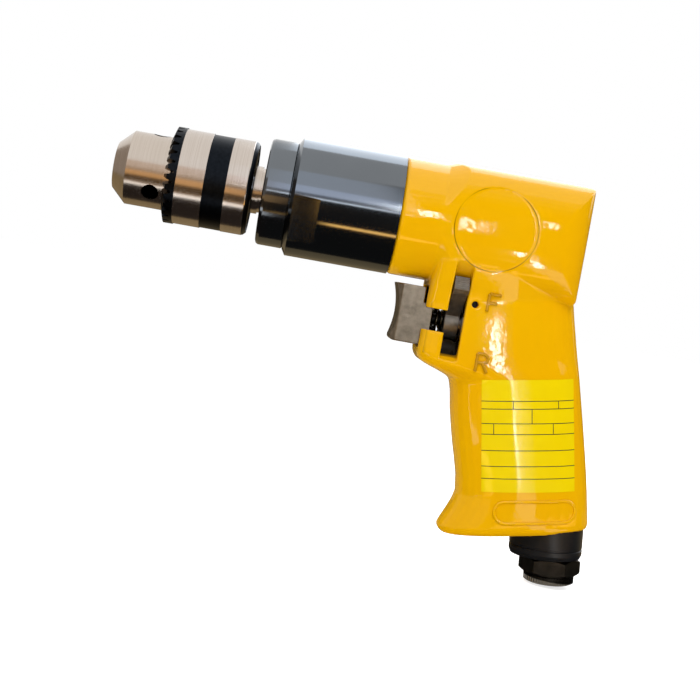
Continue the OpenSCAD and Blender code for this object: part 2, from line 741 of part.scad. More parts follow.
module dowel_hole(s, l) {
    translate([0, 0, -dowel_orbit]) back(s) cylinder(h = l, r = dowel_r + seat);
}

module front_end_plate() {
    color(GREY) difference() {
        back(motor_at) cylinder(h = end_plate_l, r = motor_r);
        back(motor_at - cut)
            cylinder(h = rotor_bearing_at + rotor_bearing_w - motor_at + cut, r = rotor_bearing_r + seat);
        back(motor_at) cylinder(h = end_plate_l + cut, r = rotor_bearing_bore + 1.5);
        dowel_hole(motor_at + 3, end_plate_l);
    }
}

module rear_end_plate() {
    color(GREY) difference() {
        back(cylinder_end) cylinder(h = end_plate_l, r = motor_r);
        back(tail_bearing_at) cylinder(h = tail_bearing_w + cut, r = tail_bearing_r + seat);
        back(cylinder_end - cut) cylinder(h = end_plate_l, r = tail_bearing_bore + 1.6);
        dowel_hole(cylinder_end - cut, 6 + cut);
    }
}

module cylinder_dowel() {
    color(STEEL) translate([0, 0, -dowel_orbit]) back(motor_at + 3.2)
        cylinder(h = cylinder_end + 5.6 - motor_at - 3.2, r = dowel_r);
}

module motor_gasket() {
    color(BLACK) ring(motor_end, gasket_t, motor_r, tail_bearing_r - 1.5);
}

// Housing outline along the lean of the grip
function smooth(t) = let (u = min(1, max(0, t))) u * u * (3 - 2 * u);
function mix(a, b, t) = a + (b - a) * smooth(t);

function slope(keys, i) = let (a = keys[max(0, i - 1)], b = keys[min(len(keys) - 1, i + 1)])
    (b[1] - a[1]) / (b[0] - a[0]);
function spline(keys, x, i = 0) =
    i < len(keys) - 2 && x > keys[i + 1][0] ? spline(keys, x, i + 1) :
    let (p = keys[i], q = keys[i + 1], w = q[0] - p[0], t = (x - p[0]) / w)
    p[1] * (1 + 2 * t) * (1 - t) * (1 - t) + q[1] * t * t * (3 - 2 * t)
    + w * t * (1 - t) * ((1 - t) * slope(keys, i) - t * slope(keys, i + 1));

shelf_h = 8.4;
shelf_run = 11;
swell_h = 36;
waist_h = 20;
toe_h = 14;
grip_top = 8;
front_keys = [
    [grip_top, guard_reach - 7], [0.5 * guard_depth, guard_reach - 3.8], [guard_depth - 4, guard_reach],
    [guard_depth, guard_reach - 0.8], [guard_depth + 2, guard_reach - 3.2],
    [guard_depth + 5.4, grip_front + 4], [guard_depth + shelf_h, grip_front],
    [guard_depth + shelf_h + shelf_run, grip_front - 0.4], [grip_l - swell_h, grip_front - 0.9],
    [grip_l - waist_h, grip_waist], [grip_l - toe_h, 0.75 * grip_waist + 0.25 * toe_reach - 1.2],
    [grip_l - 6.5, toe_reach - 2.4], [grip_l - 3.2, toe_reach], [grip_l, toe_reach + 0.2]
];
back_keys = [
    [grip_top, grip_back_top - 0.4], [0.25 * grip_l, grip_back_top],
    [0.5 * grip_l, 0.55 * grip_back_top + 0.45 * grip_back_foot],
    [0.8 * grip_l, 0.08 * grip_back_top + 0.92 * grip_back_foot], [grip_l, grip_back_foot]
];
body_blend_h = 25;
function grip_half(h) = mix(body_half_w - 0.6, grip_half_t, (h - grip_top) / (body_blend_h - grip_top));
function front_square(h) = mix(7, 2.7, (h - guard_depth + 3) / (shelf_h + 4));
rear_square = 2.6;
ring_points = 36;
function power(v, n) = sign(v) * pow(abs(v), 2 / n);
function grip_ring(h, inset) =
    let (f = spline(front_keys, h) - inset, b = -spline(back_keys, h) + inset,
         mid = (f + b) / 2, reach = (f - b) / 2, t = grip_half(h) - inset)
    [for (k = [0:ring_points - 1])
        let (a = (k + 0.5) * 360 / ring_points, n = cos(a) > 0 ? front_square(h) : rear_square)
        [mid + reach * power(cos(a), n), t * power(sin(a), n), -h]];
edge_steps = 3;
grip_heights = concat(
    [for (i = [0:4]) grip_top + i * (guard_depth - 5 - grip_top) / 4],
    [for (i = [0:8]) guard_depth - 2.5 + i * (shelf_h + 3.5) / 8],
    [for (i = [0:6]) guard_depth + shelf_h + 5 + i * (grip_l - toe_h - guard_depth - shelf_h - 6) / 6],
    [for (i = [1:5]) grip_l - toe_h + i * (toe_h - grip_edge_r - 0.4) / 5]);
grip_rings = concat(
    [for (h = grip_heights) grip_ring(h, 0)],
    [for (i = [0:edge_steps]) let (a = 90 * i / edge_steps)
        grip_ring(grip_l - grip_edge_r * (1 - sin(a)), grip_edge_r * (1 - cos(a)))]);

// Closed skin over a list of rings with equal numbers of points
module skin(rings) {
    n = len(rings[0]);
    m = len(rings);
    sides = [for (i = [0:m - 2], k = [0:n - 1])
        let (a = i * n + k, b = i * n + (k + 1) % n) each [[a, b, b + n], [a, b + n, a + n]]];
    first = [for (k = [1:n - 2]) [0, k + 1, k]];
    last = [for (k = [1:n - 2]) [(m - 1) * n, (m - 1) * n + k, (m - 1) * n + k + 1]];
    polyhedron(points = [for (r = rings) each r], faces = concat(sides, first, last), convexity = 6);
}

module grip_form() {
    on_grip() skin(grip_rings);
}

// Body over the grip: a squared section, widening from the barrel and rounded at the rear
function squared(w, h, n, points = 64) = [for (k = [0:points - 1])
    let (a = (k + 0.5) * 360 / points) [w * power(cos(a), n), h * power(sin(a), n)]];

module body_form(inset) {
    top = body_top - inset;
    half_w = body_half_w - inset;
    wide = 2 * body_half_w;
    intersection() {
        section(flare_start, rear_at - flare_start - inset) polygon(squared(half_w, top, body_square));
        turned([[0, flare_start], [barrel_r - 0.3 - inset, flare_start],
                [barrel_r + 4.4 - inset, flare_start + flare_l],
                [wide, flare_start + flare_l], [wide, rear_at + cut], [0, rear_at + cut]]);
        side_view(2 * wide) polygon([[-flare_start + cut, top + cut], [-flare_start - flare_l, top],
            [-rear_at + 2.2, top - body_top_drop], [-rear_at + 0.7, top - body_top_drop - 0.6],
            [-rear_at, top - body_top_drop - 2.2], [-rear_at + (top + wide) * tan(rear_lean), -wide],
            [-flare_start + cut, -wide]]);
        translate([0, 0, -wide]) linear_extrude(height = 2 * wide) union() {
            translate([-rear_at + rear_corner_r, -wide]) square([wide + rear_at, 2 * wide]);
            translate([-rear_at, -half_w + rear_corner_r]) square([rear_at, 2 * (half_w - rear_corner_r)]);
            for (side = [-1, 1]) translate([-rear_at + rear_corner_r, side * (half_w - rear_corner_r)])
                circle(r = rear_corner_r);
        }
    }
}

module barrel_form() {
    lip = 1;
    turned([[0, case_end], [barrel_r - lip, case_end], [barrel_r, case_end + lip],
            [barrel_r, flare_start + flare_l], [0, flare_start + flare_l]]);
}

module side_recess() {
    difference() {
        translate([-recess_at, 0, 0]) rotate([90, 0, 0])
            cylinder(h = 3 * body_half_w, r = recess_r, center = true);
        body_form(recess_depth);
    }
}

// Space swept by the reversing lever, with each side open to the highest and lowest arm
module lever_slot() {
    reach = 40;
    clear = 0.6;
    up = max(lever_up, lever_swing - lever_down);
    down = max(lever_down, lever_swing - lever_up);
    near = lever_arm_h / 2 + clear;
    wide = near + (pad_h - lever_arm_h) / 2 * reach / (lever_reach - 4);
    on_throttle() section(slot_at, slot_w) union() {
        circle(r = hub_r + clear);
        for (side = [-1, 1]) polygon([[-side * near * sin(up), near * cos(up)],
            [side * (reach * cos(up) - wide * sin(up)), reach * sin(up) + wide * cos(up)],
            [side * (reach * cos(down) - wide * sin(down)), -reach * sin(down) - wide * cos(down)],
            [-side * near * sin(down), -near * cos(down)]]);
    }
}

module trigger_channel() {
    clear_h = 0.7;
    w = trigger_w + 2 * trigger_clear;
    translate([-slot_at - 0.01, -w / 2, -trigger_foot - clear_h])
        cube([slot_at - trigger_front + cut, w, trigger_h + 2 * clear_h]);
    translate([-slot_at - 0.01, -2 * body_half_w, -throttle_drop - post_gap / 2])
        cube([slot_at - trigger_front + cut, 4 * body_half_w, post_gap]);
}

// Straight drilling between two points of station and height in the middle plane
module drilling(a, b, r) {
    lean = atan2(b[0] - a[0], a[1] - b[1]);
    translate([-a[0], 0, a[1]]) rotate([180, lean, 0]) cylinder(h = norm(b - a), r = r);
}

module air_ways() {
    exhaust_r = port_r;
    port_reach = 2.8;
    exhaust_reach = 5.8;
    feed_r = 4.6;
    plenum_r = 4.5;
    exhaust_at = bushing_end - 12;
    exhaust_y = bushing_r + exhaust_r + 0.8;
    plenum_drop = throttle_drop + bushing_r + 2 * plenum_r;
    feed_top = [bushing_end + valve_l + 2, -throttle_drop];
    feed_foot = [inlet_at - 1.5, -hex_drop + shank_l - 1];
    drilling(feed_top, feed_foot, feed_r);
    for (side = [-1, 1]) {
        translate([-bushing_at - port_back, side * port_side, -throttle_drop])
            cylinder(h = throttle_drop - motor_bore_r + port_reach, r = port_r);
        translate([-exhaust_at, side * exhaust_y, -plenum_drop])
            cylinder(h = plenum_drop - motor_bore_r + exhaust_reach, r = exhaust_r);
    }
    translate([-exhaust_at, 0, -plenum_drop]) rotate([90, 0, 0])
        cylinder(h = 2 * exhaust_y, r = plenum_r, center = true);
    drilling([exhaust_at, -plenum_drop],
        [inlet_at - deflector_shift - 2 * inlet_bore_r, -hex_drop + deflector_h - 4], inlet_bore_r);
}

module grip_housing() {
    color(YELLOW) difference() {
        union() {
            barrel_form();
            body_form(0);
            grip_form();
        }
        back(case_end - cut) cylinder(h = case_spigot_l + cut, r = case_spigot_r + fit);
        back(case_end) cylinder(h = motor_bore_end - case_end, r = motor_bore_r);
        side_recess();
        trigger_channel();
        lever_slot();
        on_throttle() back(slot_end - cut)
            cylinder(h = valve_chamber_end - slot_end + cut, r = bushing_r + seat);
        on_throttle() translate([-lock_pin_at, 0, lock_pin_up]) rotate([90, 0, 0])
            cylinder(h = 4 * body_half_w, r = lock_pin_r + seat, center = true);
        air_ways();
        on_inlet() translate([deflector_shift, 0, -deflector_h])
            cylinder(h = 3 * deflector_h, r = deflector_r + deflector_gap);
        on_inlet() translate([0, 0, -shank_l - 0.5]) cylinder(h = shank_l, r = shank_r + fit);
    }
}

// Trigger and valves
module trigger() {
    hollow_r = (pow(trigger_h / 2, 2) + pow(finger_hollow, 2)) / (2 * finger_hollow);
    front_lean = 1.7;
    upper_back = trigger_back - 3.7;
    lower_back = trigger_back - 2.5;
    boss_half = 5.4;
    plan_r = 16.4;
    mid_front = trigger_front + front_lean / 2 + finger_hollow;
    edge = 0.8;
    color(GREY) difference() {
        intersection() {
            side_view(trigger_w) difference() {
                polygon([[-trigger_front, -trigger_top - edge], [-trigger_front - edge, -trigger_top],
                    [-upper_back, -trigger_top], [-upper_back, -throttle_drop + boss_half],
                    [-trigger_back, -throttle_drop + boss_half], [-trigger_back, -throttle_drop - boss_half],
                    [-lower_back, -throttle_drop - boss_half], [-lower_back, -trigger_foot],
                    [-trigger_front - front_lean - edge, -trigger_foot],
                    [-trigger_front - front_lean, -trigger_foot + edge]]);
                translate([-mid_front + hollow_r, -trigger_top - trigger_h / 2])
                    circle(r = hollow_r, $fn = 120);
            }
            translate([0, 0, -trigger_foot - cut]) linear_extrude(height = trigger_h + 2 * cut) union() {
                translate([-trigger_front - plan_r, 0]) circle(r = plan_r);
                translate([-trigger_back - cut, -trigger_w])
                    square([trigger_back + cut - trigger_front - plan_r / 2, 2 * trigger_w]);
            }
        }
        on_throttle() back(trigger_back - spring_pocket)
            cylinder(h = spring_pocket + cut, r = spring_r + spring_wire / 2 + 0.3);
        on_throttle() back(stem_start) cylinder(h = trigger_back, r = stem_r + seat);
        trigger_pin_place() cylinder(h = 4 * trigger_w, r = 0.8 + seat, center = true);
    }
}

module trigger_pin_place() {
    translate([-stem_start - 2, 0, -throttle_drop]) rotate([90, 0, 0]) children();
}

module trigger_pin() {
    color(STEEL) trigger_pin_place() cylinder(h = trigger_w - 6, r = 0.8, center = true);
}

module throttle_stem() {
    stem_end = bushing_end + valve_l + 3;
    color(STEEL) difference() {
        on_throttle() back(stem_start + 0.1) cylinder(h = stem_end - stem_start, r = stem_r);
        trigger_pin_place() cylinder(h = trigger_w, r = 0.8 + seat, center = true);
    }
}

module throttle_valve() {
    color(BLACK) on_throttle() ring(bushing_end, valve_l, reverse_r + 0.8, stem_r + seat);
}

// One round wire along a path of points, with its end rings square to the path
function along(path, i) = let (a = path[max(0, i - 1)], b = path[min(len(path) - 1, i + 1)])
    (b - a) / norm(b - a);
wire_sides = 6;
function wire_ring(path, i, r, axis) =
    let (d = along(path, i), out = path[i] - axis * (path[i] * axis), u0 = cross(d, cross(out, d)),
         u = u0 / norm(u0), v = cross(d, u))
    [for (k = [0:wire_sides - 1]) path[i] + r * (cos(k * 60) * u + sin(k * 60) * v)];

// Coil along X from station s to e, its ends running straight for one wire into their seats
curl_rings = 8;
function coil_path(s, e, r, wire, curls) =
    let (run = wire + 0.1, n = curls * curl_rings, l = e - s - 2 * run - wire / 2)
    concat([[-s, 0, r]],
        [for (i = [0:n]) let (a = i * 360 / curl_rings)
            [-s - run - wire / 4 - l * i / n, r * sin(a), r * cos(a)]],
        [[-e, 0, r]]);

// Least gap between curls, over points at least half a curl apart along the wire
function coil_gap(path, wire) = min([for (i = [0:len(path) - 1], j = [i + 5:1:len(path) - 1])
    norm(path[i] - path[j])]) - wire;

module coil(s, e, r, wire, curls) {
    path = coil_path(s, e, r, wire, curls);
    echo(str("least gap of the coil to itself, mm: ", coil_gap(path, wire)));
    skin([for (i = [0:len(path) - 1]) wire_ring(path, i, wire / 2, [1, 0, 0])]);
}

module trigger_spring() {
    color(BLACK) on_throttle() coil(spring_start, spring_end, spring_r, spring_wire, spring_curls);
}

module valve_spring() {
    wire = 0.9;
    curls = 3;
    color(STEEL) on_throttle()
        coil(bushing_end + valve_l + 0.2, valve_chamber_end - 0.2, stem_r + 1.6, wire, curls);
}

module valve_bushing() {
    color(BRASS) on_throttle() difference() {
        ring(bushing_at, bushing_l, bushing_r, reverse_r + fit);
        translate([-lock_pin_at, 0, lock_pin_up]) rotate([90, 0, 0])
            cylinder(h = 4 * bushing_r, r = lock_pin_r + seat, center = true);
        for (side = [-1, 1]) translate([-bushing_at - port_back, side * port_side, 0])
            cylinder(h = 2 * bushing_r, r = port_r);
        for (s = bushing_seal_at)
            ring(s - seal_r - 0.1, 2 * seal_r + 0.2, bushing_r + cut, bushing_r - 2 * seal_r - 0.1);
    }
}

module bushing_seals() {
    color(BLACK) on_throttle() for (s = bushing_seal_at) back(s)
        rotate_extrude() translate([bushing_r - seal_r - 0.05, 0]) circle(r = seal_r);
}

module bushing_pin() {
    recess = 3;
    color(BLACK) on_throttle() translate([-lock_pin_at, 0, lock_pin_up]) rotate([90, 0, 0])
        cylinder(h = 2 * (grip_half_t - recess), r = lock_pin_r, center = true);
}

// One lever arm along +Y, with a serrated pad square to it
module lever_arm() {
    pad_l = 3;
    arm_h = lever_arm_h;
    pitch = pad_h / pad_teeth;
    ridge = 0.5;
    translate([-lever_at - lever_l, 0, 0]) rotate([90, 0, 90]) linear_extrude(height = lever_l) union() {
        translate([0, -arm_h / 2]) square([lever_reach - pad_l, arm_h]);
        polygon(concat([[lever_reach - pad_l - 1.2, -arm_h / 2], [lever_reach - pad_l, -pad_h / 2],
            [lever_reach - ridge, -pad_h / 2]],
            [for (i = [0:pad_teeth - 1]) each [[lever_reach, (i + 0.5) * pitch - pad_h / 2],
                [lever_reach - ridge, (i + 1) * pitch - pad_h / 2]]],
            [[lever_reach - pad_l, pad_h / 2], [lever_reach - pad_l - 1.2, arm_h / 2]]));
    }
}

module reverse_lever() {
    color(GREY) on_throttle() difference() {
        union() {
            ring(lever_at, lever_l, hub_r, 0);
            rotate([lever_up, 0, 0]) lever_arm();
            rotate([180 + lever_down, 0, 0]) lever_arm();
        }
        back(lever_at - cut) cylinder(h = lever_l + 2 * cut, r = valve_stub_r + seat);
    }
}

module reverse_valve() {
    bore = stem_r + 0.1;
    window = 4;
    color(STEEL) on_throttle() difference() {
        turned([[bore, lever_at + 0.2], [valve_stub_r, lever_at + 0.2], [valve_stub_r, bushing_at],
                [reverse_r, bushing_at], [reverse_r, bushing_end - 0.3], [bore + 2, bushing_end - 0.3],
                [bore + 2, bushing_at + 10], [bore, bushing_at + 10]]);
        translate([-bushing_at - 14, 0, 0]) cylinder(h = 2 * reverse_r, r = window / 2);
    }
}

// Inlet and exhaust
module exhaust_deflector() {
    edge = 2;
    groove = 0.35;
    slots = 5;
    slot_w = 2.4;
    r = deflector_r;
    foot = -deflector_gap;
    top = foot - deflector_h + 0.6;
    color(BLACK) on_inlet() difference() {
        translate([deflector_shift, 0, 0]) rotate_extrude() polygon([[0, top], [r, top],
            [r, foot - edge - 2.4],
            [r - groove, foot - edge - 2.2], [r - groove, foot - edge - 1.8], [r, foot - edge - 1.6],
            [r, foot - edge], [r - 0.6, foot - 0.5], [r - edge, foot], [0, foot]]);
        translate([deflector_shift, 0, top - cut])
            cylinder(h = deflector_h - 0.6 - deflector_wall - 0.6 + cut, r = r - deflector_wall);
        translate([0, 0, -30]) cylinder(h = 40, r = shank_r + 0.15);
        for (i = [0:slots - 1]) translate([deflector_shift, 0, 0]) rotate(90 + (i - (slots - 1) / 2) * 20)
            translate([0, -slot_w / 2, foot - edge - 7]) cube([2 * r, slot_w, 4]);
    }
}

module muffler_felt() {
    r = deflector_r - deflector_wall - 0.3;
    top = -deflector_gap - deflector_h + 1;
    color(GREY) on_inlet() difference() {
        translate([deflector_shift, 0, top]) cylinder(h = deflector_h - deflector_wall - 3, r = r);
        translate([0, 0, -30]) cylinder(h = 40, r = shank_r + 0.2);
    }
}

module inlet_bushing() {
    corner_r = hex_af / 2 / cos(30);
    bevel = 0.9;
    color(BLACK) on_inlet() difference() {
        union() {
            intersection() {
                rotate(11) cylinder(h = hex_h, r = corner_r, $fn = 6);
                rotate_extrude() polygon([[0, 0], [corner_r - 1.5, 0], [corner_r + 0.1, bevel],
                    [corner_r + 0.1, hex_h - bevel],
                    [corner_r - 1.5, hex_h], [0, hex_h]]);
            }
            rotate_extrude() polygon([[0, hex_h - cut], [knurl_r - 0.4, hex_h - cut], [knurl_r - 0.4, hex_h + 0.5],
                [knurl_r, hex_h + 0.8], [knurl_r, inlet_foot - 1.2], [knurl_r - 0.35, inlet_foot - 0.35],
                [knurl_r - 1.2, inlet_foot], [0, inlet_foot]]);
            translate([0, 0, -shank_l]) cylinder(h = shank_l + cut, r = shank_r);
        }
        translate([0, 0, inlet_foot - inlet_thread_l]) cylinder(h = inlet_thread_l + cut, r = inlet_thread_r);
        translate([0, 0, -shank_l - cut]) cylinder(h = shank_l + inlet_foot, r = inlet_bore_r);
        translate([0, 0, -deflector_h - 3 - seal_r - 0.1]) rotate_extrude()
            translate([shank_r - 2 * seal_r - 0.05, 0]) square([2 * seal_r + cut, 2 * seal_r + 0.2]);
        translate([0, 0, -shank_l - cut]) cylinder(h = screen_seat_l + cut, r = screen_r + seat);
    }
}

module inlet_seal() {
    color(BLACK) on_inlet() translate([0, 0, -deflector_h - 3])
        rotate_extrude() translate([shank_r - seal_r, 0]) circle(r = seal_r);
}

module inlet_screen() {
    screen_t = 1.2;
    pitch = 2;
    color(STEEL) on_inlet() difference() {
        translate([0, 0, -shank_l + screen_seat_l - screen_t]) cylinder(h = screen_t, r = screen_r);
        for (i = [-1:1], j = [-1:1]) translate([i * pitch, j * pitch, -shank_l])
            cylinder(h = 2 * screen_seat_l, r = 0.7);
    }
}

grip_housing();
gear_case();
clamp_nut();
spindle();
spindle_collar();
planet_pins();
planet_gear(0);  // planet_gear_1
planet_gear(1);  // planet_gear_2
planet_gear(2);  // planet_gear_3
planet_bush(0);  // planet_bush_1
planet_bush(1);  // planet_bush_2
planet_bush(2);  // planet_bush_3
bearing_outer(front_bearing_at, front_bearing_w, spindle_r, front_bearing_r);  // front_bearing_outer
bearing_inner(front_bearing_at, front_bearing_w, spindle_r, front_bearing_r);  // front_bearing_inner
bearing_balls(front_bearing_at, front_bearing_w, spindle_r, front_bearing_r);  // front_bearing_balls
bearing_outer(second_bearing_at, second_bearing_w, spindle_r, second_bearing_r);  // second_bearing_outer
bearing_inner(second_bearing_at, second_bearing_w, spindle_r, second_bearing_r);  // second_bearing_inner
bearing_balls(second_bearing_at, second_bearing_w, spindle_r, second_bearing_r);  // second_bearing_balls
chuck_body();
chuck_sleeve();
chuck_nut();
chuck_jaw(0);  // chuck_jaw_1
chuck_jaw(1);  // chuck_jaw_2
chuck_jaw(2);  // chuck_jaw_3
chuck_screw();
rotor();
rotor_vanes();
motor_cylinder();
front_end_plate();
rear_end_plate();
cylinder_dowel();
motor_gasket();
bearing_outer(rotor_bearing_at, rotor_bearing_w, rotor_bearing_bore, rotor_bearing_r);  // rotor_bearing_outer
bearing_inner(rotor_bearing_at, rotor_bearing_w, rotor_bearing_bore, rotor_bearing_r);  // rotor_bearing_inner
bearing_balls(rotor_bearing_at, rotor_bearing_w, rotor_bearing_bore, rotor_bearing_r);  // rotor_bearing_balls
bearing_outer(tail_bearing_at, tail_bearing_w, tail_bearing_bore, tail_bearing_r);  // tail_bearing_outer
bearing_inner(tail_bearing_at, tail_bearing_w, tail_bearing_bore, tail_bearing_r);  // tail_bearing_inner
bearing_balls(tail_bearing_at, tail_bearing_w, tail_bearing_bore, tail_bearing_r);  // tail_bearing_balls
trigger();
throttle_stem();
trigger_pin();
trigger_spring();
throttle_valve();
valve_spring();
valve_bushing();
bushing_seals();
bushing_pin();
reverse_lever();
reverse_valve();
exhaust_deflector();
muffler_felt();
inlet_bushing();
inlet_seal();
inlet_screen();
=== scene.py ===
import bpy
import bmesh
import math
from mathutils import Matrix, Vector
from mathutils.bvhtree import BVHTree


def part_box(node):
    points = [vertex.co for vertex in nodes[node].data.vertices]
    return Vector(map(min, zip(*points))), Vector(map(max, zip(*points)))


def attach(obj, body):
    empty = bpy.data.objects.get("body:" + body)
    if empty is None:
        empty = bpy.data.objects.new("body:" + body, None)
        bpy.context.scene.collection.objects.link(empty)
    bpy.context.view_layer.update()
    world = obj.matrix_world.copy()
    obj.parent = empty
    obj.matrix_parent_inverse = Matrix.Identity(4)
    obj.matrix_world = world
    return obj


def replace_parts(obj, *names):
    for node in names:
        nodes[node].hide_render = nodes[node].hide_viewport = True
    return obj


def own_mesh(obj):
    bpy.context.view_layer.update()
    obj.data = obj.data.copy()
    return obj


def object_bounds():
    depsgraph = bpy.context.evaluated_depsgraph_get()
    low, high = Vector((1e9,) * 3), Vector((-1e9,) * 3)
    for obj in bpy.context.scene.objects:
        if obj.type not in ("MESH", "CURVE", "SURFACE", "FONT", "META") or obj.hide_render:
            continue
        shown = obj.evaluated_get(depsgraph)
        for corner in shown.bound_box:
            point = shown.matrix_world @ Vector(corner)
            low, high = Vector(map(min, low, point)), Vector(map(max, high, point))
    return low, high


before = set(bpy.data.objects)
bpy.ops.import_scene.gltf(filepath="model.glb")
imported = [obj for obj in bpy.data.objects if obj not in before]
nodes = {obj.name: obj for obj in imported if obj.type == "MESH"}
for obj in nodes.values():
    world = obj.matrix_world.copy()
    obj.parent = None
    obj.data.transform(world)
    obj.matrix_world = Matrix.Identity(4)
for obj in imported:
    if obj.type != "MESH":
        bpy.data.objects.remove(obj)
cadBox = [list(corner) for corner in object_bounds()]
mm = 0.001
scene = bpy.context.scene


def hexColor(code):
    parts = [int(code[i:i + 2], 16) / 255 for i in (1, 3, 5)]
    return [c / 12.92 if c <= 0.04045 else ((c + 0.055) / 1.055) ** 2.4 for c in parts] + [1.0]


def addNode(tree, kind, values=None, links=None, **settings):
    node = tree.nodes.new(kind)
    for key, value in settings.items():
        setattr(node, key, value)
    for key, value in (values or {}).items():
        node.inputs[key].default_value = value
    for key, source in (links or {}).items():
        tree.links.new(source, node.inputs[key])
    return node


def newMaterial(name, shader):
    material = bpy.data.materials.new(name)
    material.use_nodes = True
    tree = material.node_tree
    principled = tree.nodes["Principled BSDF"]
    for key, value in shader.items():
        principled.inputs[key].default_value = value
    place = addNode(tree, "ShaderNodeTexCoord").outputs["Object"]
    return material, tree, principled, place


# Two shades that drift into each other over a size in millimetres
def driftingShade(tree, place, sizeMm, detail, first, second):
    noise = addNode(tree, "ShaderNodeTexNoise", {"Scale": 1 / (sizeMm * mm), "Detail": detail}, {"Vector": place})
    shade = addNode(tree, "ShaderNodeMix", {"A": hexColor(first), "B": hexColor(second)},
                    {"Factor": noise.outputs["Fac"]}, data_type="RGBA")
    return noise.outputs["Fac"], shade.outputs["Result"]


def meshObject(name, mesh, material, body, smooth=True):
    piece = bpy.data.objects.new(name, mesh)
    scene.collection.objects.link(piece)
    if material:
        mesh.materials.clear()
        mesh.materials.append(material)
    for polygon in mesh.polygons:
        polygon.use_smooth = smooth
    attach(piece, body)
    return piece


# Camera, level with the tool's left side and rolled as the picture is
camera = {"foot": (-73.8, -28.0), "distance": 500.0, "roll": 10.2, "nearest": 10.0,
          "pixelsPerMm": 2.617, "middle": (294.0, 271.0), "frame": 700.0, "sensor": 36.0}
roll = math.radians(camera["roll"])
lensData = bpy.data.cameras.new("sideCamera")
lensData.sensor_width = camera["sensor"]
lensData.lens = camera["pixelsPerMm"] * camera["distance"] / camera["frame"] * camera["sensor"]
lensData.shift_x = 0.5 - camera["middle"][0] / camera["frame"]
lensData.shift_y = camera["middle"][1] / camera["frame"] - 0.5
lensData.clip_start = camera["nearest"] * mm
sideCamera = bpy.data.objects.new("sideCamera", lensData)
scene.collection.objects.link(sideCamera)
sideCamera.matrix_world = Matrix((
    (-math.cos(roll), math.sin(roll), 0, camera["foot"][0] * mm),
    (0, 0, 1, camera["distance"] * mm),
    (math.sin(roll), math.cos(roll), 0, camera["foot"][1] * mm),
    (0, 0, 0, 1)))
scene.camera = sideCamera
print("camera set")

# Enamel sprayed on a die casting: full gloss with a faint orange peel and slight drifts of shade
enamel = {"color": "#F6BA00", "deep": "#F2AF00", "drift": 28.0, "roughness": 0.05, "ior": 1.45,
          "peel": 1.6, "peelStrength": 0.1, "peelDepth": 0.2}
# painted shade inside the lever's slot: its walls are coloured dark as the deep shade that falls in it: spans in
# millimetres
slotShade = {"back": (126.0, 140.5), "up": (-49.3, -24.5), "side": (12.5, 15.0), "color": "#1B1712"}
# painted shade in the step round the side recess, where its wall falls in shade: a thin broken dark line, in
# millimetres
recessShade = {"back": 144.0, "radius": 15.5, "half": (0.1, 0.3), "share": 0.75, "aside": 10.0,
              "patch": 13.0, "patchFrom": (0.4, 0.62), "patchLeast": 0.15, "color": "#6E4A00"}
yellowEnamel, tree, principled, place = newMaterial(
    "yellowEnamel", {"Roughness": enamel["roughness"], "IOR": enamel["ior"]})
_, color = driftingShade(tree, place, enamel["drift"], 2.0, enamel["color"], enamel["deep"])

axis = addNode(tree, "ShaderNodeSeparateXYZ", links={"Vector": place})
aside = addNode(tree, "ShaderNodeMath", links={0: axis.outputs["Y"]}, operation="ABSOLUTE")
deep = addNode(tree, "ShaderNodeMapRange",
               {"From Min": slotShade["side"][1] * mm, "From Max": slotShade["side"][0] * mm},
               {"Value": aside.outputs["Value"]})
within = deep.outputs["Result"]
limits = (("X", "LESS_THAN", -slotShade["back"][0]), ("X", "GREATER_THAN", -slotShade["back"][1]),
          ("Z", "GREATER_THAN", slotShade["up"][0]), ("Z", "LESS_THAN", slotShade["up"][1]))
for source, kind, limit in limits:
    side = addNode(tree, "ShaderNodeMath", {1: limit * mm}, {0: axis.outputs[source]}, operation=kind)
    both = addNode(tree, "ShaderNodeMath", links={0: within, 1: side.outputs["Value"]}, operation="MULTIPLY")
    within = both.outputs["Value"]
# mix in the slot's painted shade, a dark colour standing for the shade deep in the slot
slotShaded = addNode(tree, "ShaderNodeMix", {"B": hexColor(slotShade["color"])}, {"Factor": within, "A": color},
                  data_type="RGBA")

centred = addNode(tree, "ShaderNodeVectorMath", {1: (recessShade["back"] * mm, 0, 0)}, {0: place}, operation="ADD")
flat = addNode(tree, "ShaderNodeVectorMath", {1: (1, 0, 1)}, {0: centred.outputs["Vector"]}, operation="MULTIPLY")
reach = addNode(tree, "ShaderNodeVectorMath", links={0: flat.outputs["Vector"]}, operation="LENGTH")
off = addNode(tree, "ShaderNodeMath", {1: recessShade["radius"] * mm}, {0: reach.outputs["Value"]},
              operation="SUBTRACT")
away = addNode(tree, "ShaderNodeMath", links={0: off.outputs["Value"]}, operation="ABSOLUTE")
line = addNode(tree, "ShaderNodeMapRange",
               {"From Min": recessShade["half"][1] * mm, "From Max": recessShade["half"][0] * mm,
                "To Max": recessShade["share"]}, {"Value": away.outputs["Value"]})
outside = addNode(tree, "ShaderNodeMath", {1: recessShade["aside"] * mm}, {0: aside.outputs["Value"]},
                  operation="GREATER_THAN")
patches = addNode(tree, "ShaderNodeTexNoise", {"Scale": 1 / (recessShade["patch"] * mm), "Detail": 2.0},
                  {"Vector": place})
patchy = addNode(tree, "ShaderNodeMapRange",
                 {"From Min": recessShade["patchFrom"][0], "From Max": recessShade["patchFrom"][1],
                  "To Min": recessShade["patchLeast"]}, {"Value": patches.outputs["Fac"]})
# painted shade along the step, broken into patches and kept to the casting's sides
stepShade = line.outputs["Result"]
for share in (patchy.outputs["Result"], outside.outputs["Value"]):
    stepShade = addNode(tree, "ShaderNodeMath", links={0: stepShade, 1: share}, operation="MULTIPLY").outputs["Value"]
stepShaded = addNode(tree, "ShaderNodeMix", {"B": hexColor(recessShade["color"])},
               {"Factor": stepShade, "A": slotShaded.outputs["Result"]}, data_type="RGBA")
tree.links.new(stepShaded.outputs["Result"], principled.inputs["Base Color"])
